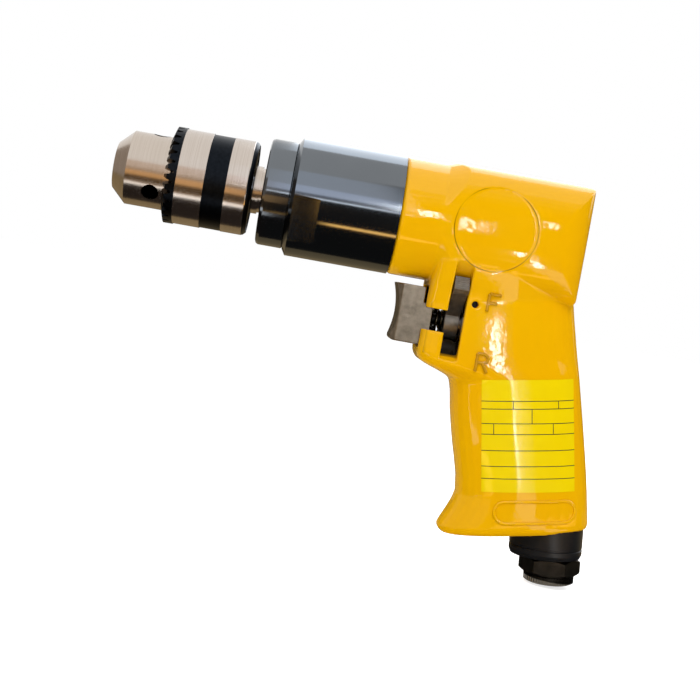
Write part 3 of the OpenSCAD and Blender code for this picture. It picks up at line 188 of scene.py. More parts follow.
peel = addNode(tree, "ShaderNodeTexNoise", {"Scale": 1 / (enamel["peel"] * mm), "Detail": 1.0}, {"Vector": place})
bump = addNode(tree, "ShaderNodeBump", {"Strength": enamel["peelStrength"], "Distance": enamel["peelDepth"] * mm},
               {"Height": peel.outputs["Fac"]})
tree.links.new(bump.outputs["Normal"], principled.inputs["Normal"])

# Vinyl sticker: plain bright yellow film, smoother than the enamel under it
vinyl = {"color": "#FADC00", "deep": "#F4D200", "drift": 6.0, "roughness": 0.1, "ior": 1.5}
stickerFilm, tree, principled, place = newMaterial(
    "vinylFilm", {"Roughness": vinyl["roughness"], "IOR": vinyl["ior"]})
_, color = driftingShade(tree, place, vinyl["drift"], 3.0, vinyl["color"], vinyl["deep"])
tree.links.new(color, principled.inputs["Base Color"])
# Ink printed on the film: near black, duller than the film and a little uneven
ink = {"color": "#1C1A12", "pale": "#2C2915", "drift": 0.4, "roughness": 0.4}
printInk, tree, principled, place = newMaterial("printInk", {"Roughness": ink["roughness"]})
_, color = driftingShade(tree, place, ink["drift"], 2.0, ink["color"], ink["pale"])
tree.links.new(color, principled.inputs["Base Color"])

# Steel off a lathe: fine rings round the spindle, drawn at 0.35 mm so that they show
turning = {"ring": 0.35, "around": 8.0, "roughShare": (0.75, 1.3), "bump": 0.12, "depth": 0.05}
oxideBand = {"shades": ("#101317", "#23272D"), "grain": 1.2, "roughness": 0.36, "span": 60.0}
# dark colour painted into the chuck's bore as the shade inside it
boreShade = "#17130F"


def turnedSteel(name, bright, dark, roughness, bands=None, bore=None):
    material, tree, principled, place = newMaterial(name, {"Metallic": 1.0})
    stretch = addNode(tree, "ShaderNodeMapping",
                      {"Scale": (1 / (turning["ring"] * mm), turning["around"], turning["around"])}, {"Vector": place})
    rings = addNode(tree, "ShaderNodeTexNoise", {"Scale": 1.0, "Detail": 3.0}, {"Vector": stretch.outputs["Vector"]})
    shade = addNode(tree, "ShaderNodeMix", {"A": hexColor(dark), "B": hexColor(bright)},
                    {"Factor": rings.outputs["Fac"]}, data_type="RGBA")
    least, most = (roughness * share for share in turning["roughShare"])
    rough = addNode(tree, "ShaderNodeMapRange", {"To Min": least, "To Max": most}, {"Value": rings.outputs["Fac"]})
    bump = addNode(tree, "ShaderNodeBump", {"Strength": turning["bump"], "Distance": turning["depth"] * mm},
                   {"Height": rings.outputs["Fac"]})
    tree.links.new(bump.outputs["Normal"], principled.inputs["Normal"])
    color, roughOut = shade.outputs["Result"], rough.outputs["Result"]
    if bands:
        # dark bands by their place along the spindle, in millimetres back from the mouth
        axis = addNode(tree, "ShaderNodeSeparateXYZ", links={"Vector": place})
        along = addNode(tree, "ShaderNodeMapRange", {"From Min": 0.0, "From Max": -oxideBand["span"] * mm},
                        {"Value": axis.outputs["X"]})
        mask = addNode(tree, "ShaderNodeValToRGB", links={"Fac": along.outputs["Result"]})
        ramp = mask.color_ramp
        ramp.interpolation = "CONSTANT"
        while len(ramp.elements) < len(bands):
            ramp.elements.new(0.5)
        for element, (at, value) in zip(ramp.elements, bands):
            element.position = at / oxideBand["span"]
            element.color = (value, value, value, 1)
        _, oxide = driftingShade(tree, place, oxideBand["grain"], 4.0, *oxideBand["shades"])
        both = addNode(tree, "ShaderNodeMix", links={"Factor": mask.outputs["Color"], "A": color, "B": oxide},
                       data_type="RGBA")
        bothRough = addNode(tree, "ShaderNodeMix", {"B": oxideBand["roughness"]},
                            {"Factor": mask.outputs["Color"], "A": roughOut})
        color, roughOut = both.outputs["Result"], bothRough.outputs["Result"]
    if bore:
        # painted shade in the drilled holes behind the cone: steel nearer the axis than the turned outside is coloured
        # dark as the shade inside them
        axis = addNode(tree, "ShaderNodeSeparateXYZ", links={"Vector": place})
        flat = addNode(tree, "ShaderNodeCombineXYZ", links={"Y": axis.outputs["Y"], "Z": axis.outputs["Z"]})
        reach = addNode(tree, "ShaderNodeVectorMath", links={0: flat.outputs["Vector"]}, operation="LENGTH")
        inside = addNode(tree, "ShaderNodeMath", {1: bore["radius"] * mm}, {0: reach.outputs["Value"]},
                         operation="LESS_THAN")
        behind = addNode(tree, "ShaderNodeMath", {1: -bore["from"] * mm}, {0: axis.outputs["X"]},
                         operation="LESS_THAN")
        shadedBore = addNode(tree, "ShaderNodeMath", links={0: inside.outputs["Value"], 1: behind.outputs["Value"]},
                        operation="MULTIPLY")
        both = addNode(tree, "ShaderNodeMix", {"B": hexColor(boreShade)},
                       {"Factor": shadedBore.outputs["Value"], "A": color}, data_type="RGBA")
        color = both.outputs["Result"]
    tree.links.new(color, principled.inputs["Base Color"])
    tree.links.new(roughOut, principled.inputs["Roughness"])
    return material


# Surface with a worked look: tone and polish drift over some millimetres, with a fine tooth
wear = {"detail": 5.0, "roughShare": (0.8, 1.2), "depth": 0.1}


def workedSurface(name, light, dark, roughness, metallic, driftMm, toothMm, tooth):
    material, tree, principled, place = newMaterial(name, {"Metallic": metallic})
    drift, color = driftingShade(tree, place, driftMm, wear["detail"], dark, light)
    least, most = (roughness * share for share in wear["roughShare"])
    rough = addNode(tree, "ShaderNodeMapRange", {"To Min": least, "To Max": most}, {"Value": drift})
    grit = addNode(tree, "ShaderNodeTexNoise", {"Scale": 1 / (toothMm * mm), "Detail": 2.0}, {"Vector": place})
    bump = addNode(tree, "ShaderNodeBump", {"Strength": tooth, "Distance": wear["depth"] * mm},
                   {"Height": grit.outputs["Fac"]})
    tree.links.new(color, principled.inputs["Base Color"])
    tree.links.new(rough.outputs["Result"], principled.inputs["Roughness"])
    tree.links.new(bump.outputs["Normal"], principled.inputs["Normal"])
    return material


# light and dark shade, roughness, metallic, drift and tooth in millimetres, strength of the tooth
worked = {
    "blackPlatedSteel": ("#767A7E", "#6B6F73", 0.12, 1.0, 30.0, 3.0, 0.012),  # even, dark mirror
    "sinteredSteel": ("#B9AC98", "#564D42", 0.3, 0.9, 3.2, 0.45, 0.35),  # blotched and grainy
    "heatTreatedSteel": ("#A19A8F", "#635E56", 0.4, 0.85, 2.0, 0.5, 0.2),  # dull brownish grey
    "oiledSpringSteel": ("#77705F", "#3F3A32", 0.26, 1.0, 2.0, 0.5, 0.05),  # dark wire with warm glints
    "blackOxideSteel": ("#2B2B2C", "#171718", 0.38, 1.0, 5.0, 0.6, 0.12),  # soft black
    "phosphatedSteel": ("#6A645A", "#45413A", 0.33, 1.0, 3.0, 0.5, 0.15),  # grey brown with a low sheen
    "groundSteel": ("#B9BABC", "#9C9DA0", 0.25, 1.0, 4.0, 0.4, 0.06),  # clean bright grey
    "machinedAlloy": ("#BFC0C2", "#A5A6A9", 0.35, 1.0, 5.0, 0.5, 0.08),  # pale and matt
    "sinteredBronze": ("#B58A4C", "#8F6B38", 0.4, 1.0, 2.0, 0.4, 0.15),  # dull yellow brown, porous
    "nitrileRubber": ("#1B1B1C", "#101011", 0.6, 0.0, 3.0, 0.5, 0.1),  # matt black
    "mouldedNylon": ("#1D1D1F", "#131314", 0.3, 0.0, 6.0, 0.5, 0.12),  # black with a soft sheen
    "fabricResin": ("#5A3A20", "#452A15", 0.5, 0.0, 1.0, 0.4, 0.2),  # brown and finely mottled
    "shadedLetterEnamel": ("#DDA000", "#AD7800", 0.15, 0.0, 1.6, 0.6, 0.08),  # a shade deeper, painted shade along the raised letters
    "greyFelt": ("#6A6863", "#4A4844", 0.95, 0.0, 0.8, 0.3, 0.6),  # woolly, without any shine
    "gasketFibre": ("#2B2C2A", "#1C1D1B", 0.7, 0.0, 1.0, 0.3, 0.2),  # dark pressed board
}
surfaces = {name: workedSurface(name, *values) for name, values in worked.items()}
surfaces["turnedSteel"] = turnedSteel("turnedSteel", "#D9CDC1", "#B8AB9D", 0.2)
surfaces["drilledSteel"] = turnedSteel("drilledSteel", "#D9CDC1", "#B8AB9D", 0.2, bore={"radius": 13.5, "from": 6.0})
surfaces["bandedSteel"] = turnedSteel("bandedSteel", "#DBD0C6", "#BAAEA2", 0.18,
                                      bands=((0, 1), (24.8, 0), (35.1, 1), (43.3, 0), (51.1, 1)))

# which nodes have which surface: the rest is ground steel
dressing = {
    "blackPlatedSteel": ("gear_case", "clamp_nut"),
    "turnedSteel": ("spindle_collar",),
    "drilledSteel": ("chuck_body",),
    "bandedSteel": ("chuck_sleeve",),
    "blackOxideSteel": ("chuck_nut", "chuck_jaw_1", "chuck_jaw_2", "chuck_jaw_3", "chuck_screw", "throttle_stem",
                        "bushing_pin"),
    "sinteredSteel": ("trigger", "trigger_pin"),
    "heatTreatedSteel": ("reverse_lever",),
    "oiledSpringSteel": ("trigger_spring",),
    "nitrileRubber": ("throttle_valve", "bushing_seals", "inlet_seal"),
    "mouldedNylon": ("exhaust_deflector",),
    "phosphatedSteel": ("inlet_bushing",),
    "sinteredBronze": ("valve_bushing", "planet_bush_1", "planet_bush_2", "planet_bush_3"),
    "fabricResin": ("rotor_vanes",),
    "greyFelt": ("muffler_felt",),
    "gasketFibre": ("motor_gasket",),
    "machinedAlloy": ("front_end_plate", "rear_end_plate"),
}
finish = {node: surfaces[name] for name, dressed in dressing.items() for node in dressed}
for name, node in nodes.items():
    for materialSlot in node.material_slots:
        materialSlot.material = finish.get(name, surfaces["groundSteel"])
print("materials on", len(nodes), "nodes")

# Filled out before rounding: a thin web on the far side of the trigger's notch, a sheet that closes the gap behind the
# spring and takes the slot's painted shade, and plugs over the trigger's pin
notchWeb = {"side": (-12.6, -10.8), "half": 4.7, "ahead": 0.8, "slotPlay": 0.45}
pinPlug = {"half": 1.2, "skin": 0.05}
triggerLow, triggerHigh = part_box("trigger")
springLow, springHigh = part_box("trigger_spring")
pinLow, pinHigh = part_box("trigger_pin")
_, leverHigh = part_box("reverse_lever")
springUp = (springLow[2] + springHigh[2]) / 2
webFill = [((leverHigh[0] + notchWeb["slotPlay"] * mm, notchWeb["side"][0] * mm, springUp - notchWeb["half"] * mm),
            (triggerLow[0] + notchWeb["ahead"] * mm, notchWeb["side"][1] * mm, springUp + notchWeb["half"] * mm))]
pinX, pinZ = ((pinLow[i] + pinHigh[i]) / 2 for i in (0, 2))
half, skin = pinPlug["half"] * mm, pinPlug["skin"] * mm
plugFill = [((pinX - half, inner + toward * skin, pinZ - half), (pinX + half, outer - toward * skin, pinZ + half))
            for toward, inner, outer in ((1, pinHigh[1], triggerHigh[1]), (-1, pinLow[1], triggerLow[1]))]

# Cast pieces: a copy of the node with its edges and inner corners rounded, as casting and tumbling leave them
castings = {
    "gripCasting": {"node": "grip_housing", "body": "housing", "slot": "yellow_paint", "finish": yellowEnamel,
                    "voxel": 0.42, "rounds": 6, "fill": webFill},
    "triggerCasting": {"node": "trigger", "body": "trigger_set", "slot": "satin_steel",
                       "finish": surfaces["sinteredSteel"], "voxel": 0.25, "rounds": 8, "fill": plugFill},
    "leverCasting": {"node": "reverse_lever", "body": "lever_set", "slot": "dark_steel",
                     "finish": surfaces["heatTreatedSteel"], "voxel": 0.17, "rounds": 1, "fill": []},
}
pullPerRound, mostTriangles = 0.5, 185000
castMeshes = {}
for name, casting in castings.items():
    shell = nodes[casting["node"]].data.copy()
    form = bmesh.new()
    form.from_mesh(shell)
    bmesh.ops.remove_doubles(form, verts=form.verts, dist=1e-6)
    for one, two in casting["fill"]:
        one, two = Vector(one), Vector(two)
        size = [abs(side) for side in two - one]
        block = Matrix.Translation((one + two) / 2) @ Matrix.Diagonal((*size, 1.0))
        bmesh.ops.create_cube(form, size=1.0, matrix=block)
    form.to_mesh(shell)
    form.free()
    draft = bpy.data.objects.new("castingDraft", shell)
    scene.collection.objects.link(draft)
    remesh = draft.modifiers.new("remesh", "REMESH")
    remesh.mode = "VOXEL"
    remesh.voxel_size = casting["voxel"] * mm
    soften = draft.modifiers.new("soften", "SMOOTH")
    soften.factor = pullPerRound
    soften.iterations = casting["rounds"]
    fine = draft.evaluated_get(bpy.context.evaluated_depsgraph_get()).data
    thin = draft.modifiers.new("thin", "DECIMATE")
    thin.ratio = min(1.0, mostTriangles / (2 * len(fine.polygons)))
    mesh = bpy.data.meshes.new_from_object(draft.evaluated_get(bpy.context.evaluated_depsgraph_get()))
    bpy.data.objects.remove(draft)
    mesh.name = name
    castMeshes[name] = mesh
    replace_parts(meshObject(name, mesh, casting["finish"], casting["body"]), casting["node"])
    print(name, len(mesh.polygons), "faces")
castMesh = castMeshes["gripCasting"]
castTree = BVHTree.FromPolygons([v.co for v in castMesh.vertices], [p.vertices for p in castMesh.polygons])
clearOfSide = 60.0  # where rays toward the left side start, in millimetres


# Point on the casting's left side at a station back from the mouth and a height, raised along its normal
def onLeftSide(back, up, lift):
    start = Vector((-back * mm, clearOfSide * mm, up * mm))
    hit, normal = castTree.ray_cast(start, Vector((0, -1, 0)))[:2]
    return hit + normal * lift * mm


# Sticker: thin film that follows the grip, with blank ruled rows
sticker = {"corner": (149.4, -55.3), "across": (34.15, 6.15), "down": (7.38, -41.0),
           "lift": 0.12, "line": 0.3, "cell": 0.9,
           "rows": (0.19, 0.26, 0.39, 0.485, 0.63, 0.77, 0.88),
           "dividers": {0.125: (0.39, 0.485), 0.33: (0.19, 0.26), 0.53: (0.26, 0.39),
                        0.76: (0.39, 0.485), 0.82: (0.19, 0.26)}}
across, down = Vector(sticker["across"]), Vector(sticker["down"])


# Shares along an edge at which the film is divided, each with whether a ruled line starts there
def breaks(length, lines):
    marks = []
    half = sticker["line"] / length / 2
    edges = [0.0] + [edge for at in lines for edge in (at - half, at + half)] + [1.0]
    for i, (low, high) in enumerate(zip(edges, edges[1:])):
        count = 1 if i % 2 else max(1, round((high - low) * length / sticker["cell"]))
        marks += [(low + (high - low) * k / count, i % 2) for k in range(count)]
    return marks + [(1.0, 0)]


columns = breaks(across.length, sorted(sticker["dividers"]))
rows = breaks(down.length, sticker["rows"])
film = bmesh.new()
grid = []
for v, _ in rows:
    row = []
    for u, _ in columns:
        flat = Vector(sticker["corner"]) + across * u + down * v
        row.append(film.verts.new(onLeftSide(flat.x, flat.y, sticker["lift"])))
    grid.append(row)
for j in range(len(rows) - 1):
    for i in range(len(columns) - 1):
        face = film.faces.new((grid[j][i], grid[j + 1][i], grid[j + 1][i + 1], grid[j][i + 1]))
        middle = (columns[i][0] + columns[i + 1][0]) / 2
        top, foot = sticker["dividers"][min(sticker["dividers"], key=lambda at: abs(at - middle))]
        face.material_index = 1 if rows[j][1] or (columns[i][1] and top < rows[j][0] < foot) else 0
film.normal_update()
if sum(face.normal.y for face in film.faces) < 0:
    bmesh.ops.reverse_faces(film, faces=film.faces)
stickerMesh = bpy.data.meshes.new("gripSticker")
film.to_mesh(stickerMesh)
film.free()
stickerMesh.materials.append(stickerFilm)
stickerMesh.materials.append(printInk)
meshObject("gripSticker", stickerMesh, None, "housing")
print("sticker", len(stickerMesh.polygons), "faces")

# section of a raised line: shares of its width to the side and of its height above the casting
ridgeSection = ((-0.5, -0.3), (-0.42, 0.85), (0.0, 1.0), (0.42, 0.85), (0.5, -0.3))


# Raised line on the casting along a path of stations and heights, with a rounded top
def castRidge(name, path, width, height, closed, material):
    ridge = bmesh.new()
    rings = []
    count = len(path)
    for i, (back, up) in enumerate(path):
        before = Vector(path[(i - 1) % count] if closed or i else path[i])
        after = Vector(path[(i + 1) % count] if closed or i < count - 1 else path[i])
        side = (after - before).normalized()
        side = Vector((-side.y, side.x))
        ring = []
        for offset, lift in ridgeSection:
            flat = Vector((back, up)) + side * offset * width
            ring.append(ridge.verts.new(onLeftSide(flat.x, flat.y, lift * height)))
        rings.append(ring)
    corners = len(ridgeSection)
    pairs = list(zip(rings, rings[1:])) + ([(rings[-1], rings[0])] if closed else [])
    for one, two in pairs:
        for k in range(corners):
            after = (k + 1) % corners
            ridge.faces.new((one[k], one[after], two[after], two[k]))
    if not closed:
        ridge.faces.new(rings[0])
        ridge.faces.new(list(reversed(rings[-1])))
    bmesh.ops.recalc_face_normals(ridge, faces=ridge.faces)
    mesh = bpy.data.meshes.new(name)
    ridge.to_mesh(mesh)
    ridge.free()
    return meshObject(name, mesh, material, "housing")


# Points on the straight runs between corners, about one step apart
def stepsAlong(corners, step):
    points = []
    for one, two in zip(corners, corners[1:]):
        count = max(1, round(math.dist(one, two) / step))
        points += [tuple(a + (b - a) * k / count for a, b in zip(one, two)) for k in range(count)]
    return points + [tuple(corners[-1])]


# Cast outline of a long capsule at the foot of the grip
capsule = {"middle": (177.4, -100.2), "length": 30.5, "height": 8.0, "turn": 10.7, "width": 1.1, "rise": 0.45,
           "arcSteps": 12, "step": 0.8}
turn = math.radians(capsule["turn"])
radius = capsule["height"] / 2
straight = capsule["length"] / 2 - radius
outline = []
for end in (1, -1):
    for k in range(capsule["arcSteps"] + 1):
        a = math.radians(-90 + 180 * k / capsule["arcSteps"])
        x, y = end * (straight + radius * math.cos(a)), end * radius * math.sin(a)
        outline.append((capsule["middle"][0] + x * math.cos(turn) - y * math.sin(turn),
                        capsule["middle"][1] + x * math.sin(turn) + y * math.cos(turn)))
path = stepsAlong(outline + outline[:1], capsule["step"])[:-1]
castRidge("capsuleRim", path, capsule["width"], capsule["rise"], True, yellowEnamel)

# Direction letters beside the lever's two ends, cast in the side: corner of each, and its strokes in shares of its size
letters = {"tall": 6.6, "wide": 4.2, "width": 1.2, "rise": 0.8, "step": 0.6,
           "F": (146.5, -30.1), "R": (146.15, -52.5)}
strokes = {
    "F": (((0, 0), (0, 1)), ((0, 1), (1, 1)), ((0, 0.5), (0.8, 0.5))),
    "R": (((0, 0), (0, 1)),
          ((0, 1), (0.55, 1), (0.9, 0.9), (0.98, 0.76), (0.9, 0.6), (0.55, 0.5), (0, 0.5)),
          ((0.5, 0.5), (1, 0)))}
# the letters take an enamel a shade deeper, as painted shade
for letter, lines in strokes.items():
    left, foot = letters[letter]
    for number, stroke in enumerate(lines):
        corners = [(left + x * letters["wide"], foot + y * letters["tall"]) for x, y in stroke]
        castRidge("mark%s%d" % (letter, number), stepsAlong(corners, letters["step"]),
                  letters["width"], letters["rise"], False, surfaces["shadedLetterEnamel"])
print("cast marks done")

# Knurl round the inlet's collar: upright ribs on a ring, made by a node tree
knurl = {"ribs": 52, "radius": 9.2, "rib": (0.55, 0.7, 2.3), "middle": 7.7, "hexTop": (-189.3, -118.0), "lean": 5.5}
knurlTree = bpy.data.node_groups.new("knurlRing", "GeometryNodeTree")
knurlTree.interface.new_socket("Geometry", in_out="OUTPUT", socket_type="NodeSocketGeometry")
sockets = {}
for label, kind in (("Ribs", "NodeSocketInt"), ("Radius", "NodeSocketFloat"), ("Rib Size", "NodeSocketVector")):
    sockets[label] = knurlTree.interface.new_socket(label, in_out="INPUT", socket_type=kind).identifier
given = addNode(knurlTree, "NodeGroupInput")
ringPoints = addNode(knurlTree, "GeometryNodeMeshCircle",
                     links={"Vertices": given.outputs["Ribs"], "Radius": given.outputs["Radius"]})
rib = addNode(knurlTree, "GeometryNodeMeshCube", links={"Size": given.outputs["Rib Size"]})
outward = addNode(knurlTree, "GeometryNodeInputPosition")
facing = addNode(knurlTree, "FunctionNodeAlignRotationToVector", links={"Vector": outward.outputs["Position"]},
                 axis="X")
placed = addNode(knurlTree, "GeometryNodeInstanceOnPoints",
                 links={"Points": ringPoints.outputs["Mesh"], "Instance": rib.outputs["Mesh"],
                        "Rotation": facing.outputs["Rotation"]})
real = addNode(knurlTree, "GeometryNodeRealizeInstances", links={"Geometry": placed.outputs["Instances"]})
dressed = addNode(knurlTree, "GeometryNodeSetMaterial", {"Material": surfaces["phosphatedSteel"]},
                  {"Geometry": real.outputs["Geometry"]})
addNode(knurlTree, "NodeGroupOutput", links={"Geometry": dressed.outputs["Geometry"]})
blank = bpy.data.objects.new("knurlDraft", bpy.data.meshes.new("knurlDraft"))
scene.collection.objects.link(blank)
maker = blank.modifiers.new("knurl", "NODES")
maker.node_group = knurlTree
maker[sockets["Ribs"]] = knurl["ribs"]
maker[sockets["Radius"]] = knurl["radius"] * mm
maker[sockets["Rib Size"]] = [size * mm for size in knurl["rib"]]
knurlMesh = bpy.data.meshes.new_from_object(blank.evaluated_get(bpy.context.evaluated_depsgraph_get()))
bpy.data.objects.remove(blank)
lean = math.radians(knurl["lean"])
knurlMesh.transform(Matrix.Translation((knurl["hexTop"][0] * mm, 0, knurl["hexTop"][1] * mm))
                    @ Matrix.Rotation(lean, 4, "Y") @ Matrix.Translation((0, 0, -knurl["middle"] * mm)))
knurlMesh.name = "inletKnurl"
meshObject("inletKnurl", knurlMesh, surfaces["phosphatedSteel"], "housing", smooth=False)
print("knurl", len(knurlMesh.polygons), "faces")

# Springs: drawn wire wound in the frame's own curls
springs = {"trigger_spring": {"wire": 1.1, "curls": 5}, "valve_spring": {"wire": 0.9, "curls": 3}}
flatTurn = 0.75  # how much of a turn lies flat at each end
ringsPerCurl, wireSides = 32, 12
for name, spring in springs.items():
    low, high = (Vector(corner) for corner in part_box(name))
    half = spring["wire"] * mm / 2
    radius = (high.y - low.y) / 2 - half
    middle = (low + high) / 2
    turns = spring["curls"] + 2 * flatTurn
    front, back = high.x - half, low.x + half
    count = round(turns * ringsPerCurl)
    path = []
    for k in range(count + 1):
        turned = turns * k / count
        share = min(max((turned - flatTurn) / spring["curls"], 0.0), 1.0)
        a = 2 * math.pi * turned
        path.append(Vector((front + (back - front) * share,
                            middle.y + radius * math.cos(a), middle.z + radius * math.sin(a))))
    wire = bmesh.new()
    rings = []
    for k, point in enumerate(path):
        along = (path[min(k + 1, count)] - path[max(k - 1, 0)]).normalized()
        out = Vector((0, point.y - middle.y, point.z - middle.z)).normalized()
        side = along.cross(out).normalized()
        rings.append([wire.verts.new(point + (out * math.cos(b) + side * math.sin(b)) * half)
                      for b in (2 * math.pi * j / wireSides for j in range(wireSides))])
    for one, two in zip(rings, rings[1:]):
        for j in range(wireSides):
            after = (j + 1) % wireSides
            wire.faces.new((one[j], one[after], two[after], two[j]))
    wire.faces.new(rings[0])
    wire.faces.new(list(reversed(rings[-1])))
    bmesh.ops.recalc_face_normals(wire, faces=wire.faces)
    springMesh = bpy.data.meshes.new(name.replace("_s", "S"))
    wire.to_mesh(springMesh)
    wire.free()
    piece = meshObject(springMesh.name, springMesh, surfaces["oiledSpringSteel"], "housing")
    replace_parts(piece, name)
    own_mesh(piece)
print("springs wound")

# Stage: pale floor that looks white to the camera and in reflections, and still takes the tool's shadow, in metres
stage = {"half": 6.0, "drop": 0.0005, "shade": 0.9, "glow": 0.72}
lowest = cadBox[0][2] - stage["drop"]
floorMesh = bpy.data.meshes.new("floor")
floorMesh.from_pydata([(x * stage["half"], y * stage["half"], lowest) for x, y in ((-1, -1), (1, -1), (1, 1), (-1, 1))],
                      [], [(0, 1, 2, 3)])
floor = bpy.data.objects.new("floor", floorMesh)
scene.collection.objects.link(floor)
floorPaint, tree, principled, _ = newMaterial("paleFloor", {
    "Roughness": 1.0, "Specular IOR Level": 0.0, "Base Color": (stage["shade"], stage["shade"], stage["shade"], 1)})
rays = addNode(tree, "ShaderNodeLightPath")
seen = addNode(tree, "ShaderNodeMath", links={0: rays.outputs["Is Camera Ray"], 1: rays.outputs["Is Glossy Ray"]},
               operation="MAXIMUM")
strength = addNode(tree, "ShaderNodeMath", {1: stage["glow"]}, {0: seen.outputs["Value"]}, operation="MULTIPLY")
glow = addNode(tree, "ShaderNodeEmission", {"Color": (1, 1, 1, 1)}, {"Strength": strength.outputs["Value"]})
both = addNode(tree, "ShaderNodeAddShader", links={0: principled.outputs["BSDF"], 1: glow.outputs["Emission"]})
tree.links.new(both.outputs["Shader"], tree.nodes["Material Output"].inputs["Surface"])
floorMesh.materials.append(floorPaint)

# Cards that only reflections show: x span, y span and z span in metres, and the light each gives off
ground, aboveGround = -0.126, -0.1256
cards = {
    "darkFloorNear": ((-1.2, -0.056), (-0.05, 0.13), (ground, ground), (0.02, 0.02, 0.02)),
    "warmFloorLine": ((-1.2, -0.084), (0.13, 0.15), (ground, ground), (5.0, 2.7, 0.75)),
    "darkFloorGap": ((-0.084, -0.066), (0.13, 0.15), (ground, ground), (0.02, 0.02, 0.02)),
    "nutFloorLine": ((-0.066, -0.056), (0.13, 0.15), (ground, ground), (0.7, 0.4, 0.12)),
    "darkFloorFar": ((-1.2, -0.056), (0.15, 0.8), (ground, ground), (0.03, 0.03, 0.03)),
    "chuckFloorNear": ((-0.056, 0.8), (-0.05, 0.1), (ground, ground), (0.025, 0.02, 0.018)),
    "chuckFloorLine": ((-0.056, 0.8), (0.13, 0.15), (ground, ground), (0.32, 0.18, 0.06)),
    "chuckFloorMid": ((-0.056, 0.8), (0.15, 0.3), (ground, ground), (0.1, 0.065, 0.035)),
    "chuckFloorFar": ((-0.056, 0.8), (0.3, 0.8), (ground, ground), (0.85, 0.5, 0.22)),
    "inletPatch": ((-0.228, -0.2), (0.03, 0.35), (aboveGround, aboveGround), (1.7, 1.6, 1.5)),
    "warmFloorBack": ((-1.2, 0.8), (-0.62, -0.05), (ground, ground), (0.3, 0.23, 0.13)),
    "caseWallLow": ((-0.18, -0.03), (0.8, 0.8), (ground, -0.005), (0.04, 0.04, 0.04)),
    "caseWallLine": ((-0.18, -0.03), (0.8, 0.8), (-0.005, 0.025), (4.0, 4.2, 4.5)),
    "caseWallMid": ((-0.18, -0.03), (0.8, 0.8), (0.025, 0.11), (0.45, 0.48, 0.55)),
    "caseWallHigh": ((-0.18, -0.03), (0.8, 0.8), (0.11, 0.3), (1.6, 1.75, 2.1)),
    "caseWallTop": ((-0.18, -0.03), (0.8, 0.8), (0.3, 0.9), (1.2, 1.27, 1.4)),
    "bodyWallLow": ((-1.2, -0.18), (0.8, 0.8), (ground, 0.35), (0.02, 0.02, 0.02)),
    "bodyWallMid": ((-1.2, -0.18), (0.8, 0.8), (0.35, 0.5), (0.07, 0.07, 0.07)),
    "bodyWallHigh": ((-1.2, -0.18), (0.8, 0.8), (0.5, 0.7), (0.16, 0.16, 0.16)),
    "bodyWallTop": ((-1.2, -0.18), (0.8, 0.8), (0.7, 1.0), (0.32, 0.32, 0.32)),
    "chuckWallLow": ((-0.03, 0.8), (0.8, 0.8), (ground, 0.0), (0.5, 0.38, 0.28)),
    "chuckWallHigh": ((-0.03, 0.8), (0.8, 0.8), (0.0, 0.3), (0.75, 0.62, 0.52)),
    "topCard": ((-1.2, -0.056), (-0.644, -0.196), (0.206, 0.634), (2.5, 2.65, 2.85)),
    "backWall": ((-1.2, 0.8), (-0.62, -0.62), (ground, 0.1), (0.08, 0.06, 0.03)),
    "frontEndWall": ((0.5, 0.5), (-0.62, 0.8), (ground, 0.3), (0.35, 0.3, 0.26)),
    "rearEndWall": ((-1.2, -1.2), (-0.62, 0.8), (ground, 0.3), (0.05, 0.04, 0.03)),
}
for name, (xs, ys, zs, light) in cards.items():
    if xs[0] == xs[1]:
        corners = [(xs[0], ys[0], zs[0]), (xs[0], ys[1], zs[0]), (xs[0], ys[1], zs[1]), (xs[0], ys[0], zs[1])]
    else:
        corners = [(xs[0], ys[0], zs[0]), (xs[1], ys[0], zs[0]), (xs[1], ys[1], zs[1]), (xs[0], ys[1], zs[1])]
    mesh = bpy.data.meshes.new(name)
    mesh.from_pydata(corners, [], [(0, 1, 2, 3)])
    card = bpy.data.objects.new(name, mesh)
    scene.collection.objects.link(card)
    glowing, *_ = newMaterial(name, {
        "Roughness": 1.0, "Specular IOR Level": 0.0, "Base Color": (0, 0, 0, 1),
        "Emission Color": (*light, 1), "Emission Strength": 1.0})
    mesh.materials.append(glowing)
    card.visible_camera = card.visible_diffuse = card.visible_shadow = card.visible_transmission = False

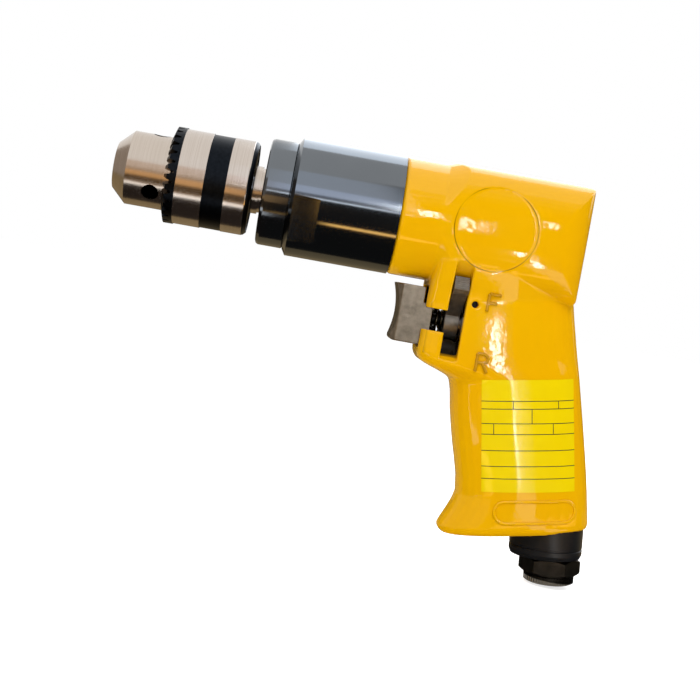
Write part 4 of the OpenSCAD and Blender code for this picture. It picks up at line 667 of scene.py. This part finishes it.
# World: white to the camera, in reflections and through glass, and a softer light on the tool itself
surround = {"soft": 0.4, "white": 1.0}
world = bpy.data.worlds.new("studio")
scene.world = world
world.use_nodes = True
tree = world.node_tree
tree.nodes.clear()
rays = addNode(tree, "ShaderNodeLightPath")
seen = addNode(tree, "ShaderNodeMath", links={0: rays.outputs["Is Camera Ray"], 1: rays.outputs["Is Glossy Ray"]},
               operation="MAXIMUM")
through = addNode(tree, "ShaderNodeMath", links={0: seen.outputs["Value"], 1: rays.outputs["Is Transmission Ray"]},
                  operation="MAXIMUM")
soft, white = (addNode(tree, "ShaderNodeBackground", {"Color": (1, 1, 1, 1), "Strength": surround[kind]})
               for kind in ("soft", "white"))
mixed = addNode(tree, "ShaderNodeMixShader", links={0: through.outputs["Value"], 1: soft.outputs["Background"],
                                                    2: white.outputs["Background"]})
addNode(tree, "ShaderNodeOutputWorld", links={"Surface": mixed.outputs["Shader"]})

# Two wide lamps light the tool, and small ones on the camera's side only glint on it
lamps = {
    "backTopLight": {"at": (-0.1, -0.42, 0.42), "aim": (-0.1, 0, -0.02), "size": (1.6, 0.62), "power": 6.2},
    "frontLight": {"at": (-0.2, 0.75, 0.65), "aim": (-0.1, 0, -0.05), "size": (0.5, 0.5), "power": 5.3},
    "barrelGlint": {"at": (-0.175, 0.62, 0.1), "aim": (-0.119, 0, 0), "size": (0.018, 0.12), "power": 0.17,
                    "glint": True},
    "recessGlint": {"at": (-0.209, 0.62, 0.035), "aim": (-0.134, 0, 0), "size": (0.024, 0.008), "power": 0.014,
                    "glint": True},
    "rearGlint": {"at": (-0.276, 0.62, 0.097), "aim": (-0.163, 0, 0), "size": (0.012, 0.02), "power": 0.018,
                  "glint": True},
    "gripGlint": {"at": (-0.208, 0.3, -0.082), "aim": (-0.158, 0, -0.055), "size": (0.004, 0.09), "power": 0.042,
                  "glint": True, "lean": 14.0},
}
for name, lamp in lamps.items():
    data = bpy.data.lights.new(name, "AREA")
    data.shape = "RECTANGLE"
    data.size, data.size_y = lamp["size"]
    data.energy = lamp["power"]
    light = bpy.data.objects.new(name, data)
    scene.collection.objects.link(light)
    glint = lamp.get("glint", False)
    light.visible_glossy = glint
    light.visible_diffuse = not glint
    facing = (Vector(lamp["aim"]) - Vector(lamp["at"])).to_track_quat("-Z", "Y").to_matrix().to_4x4()
    spin = Matrix.Rotation(math.radians(lamp.get("lean", 0.0)), 4, "Z")
    light.matrix_world = Matrix.Translation(lamp["at"]) @ facing @ spin
scene.view_settings.view_transform = "Standard"
print("stage and light set")
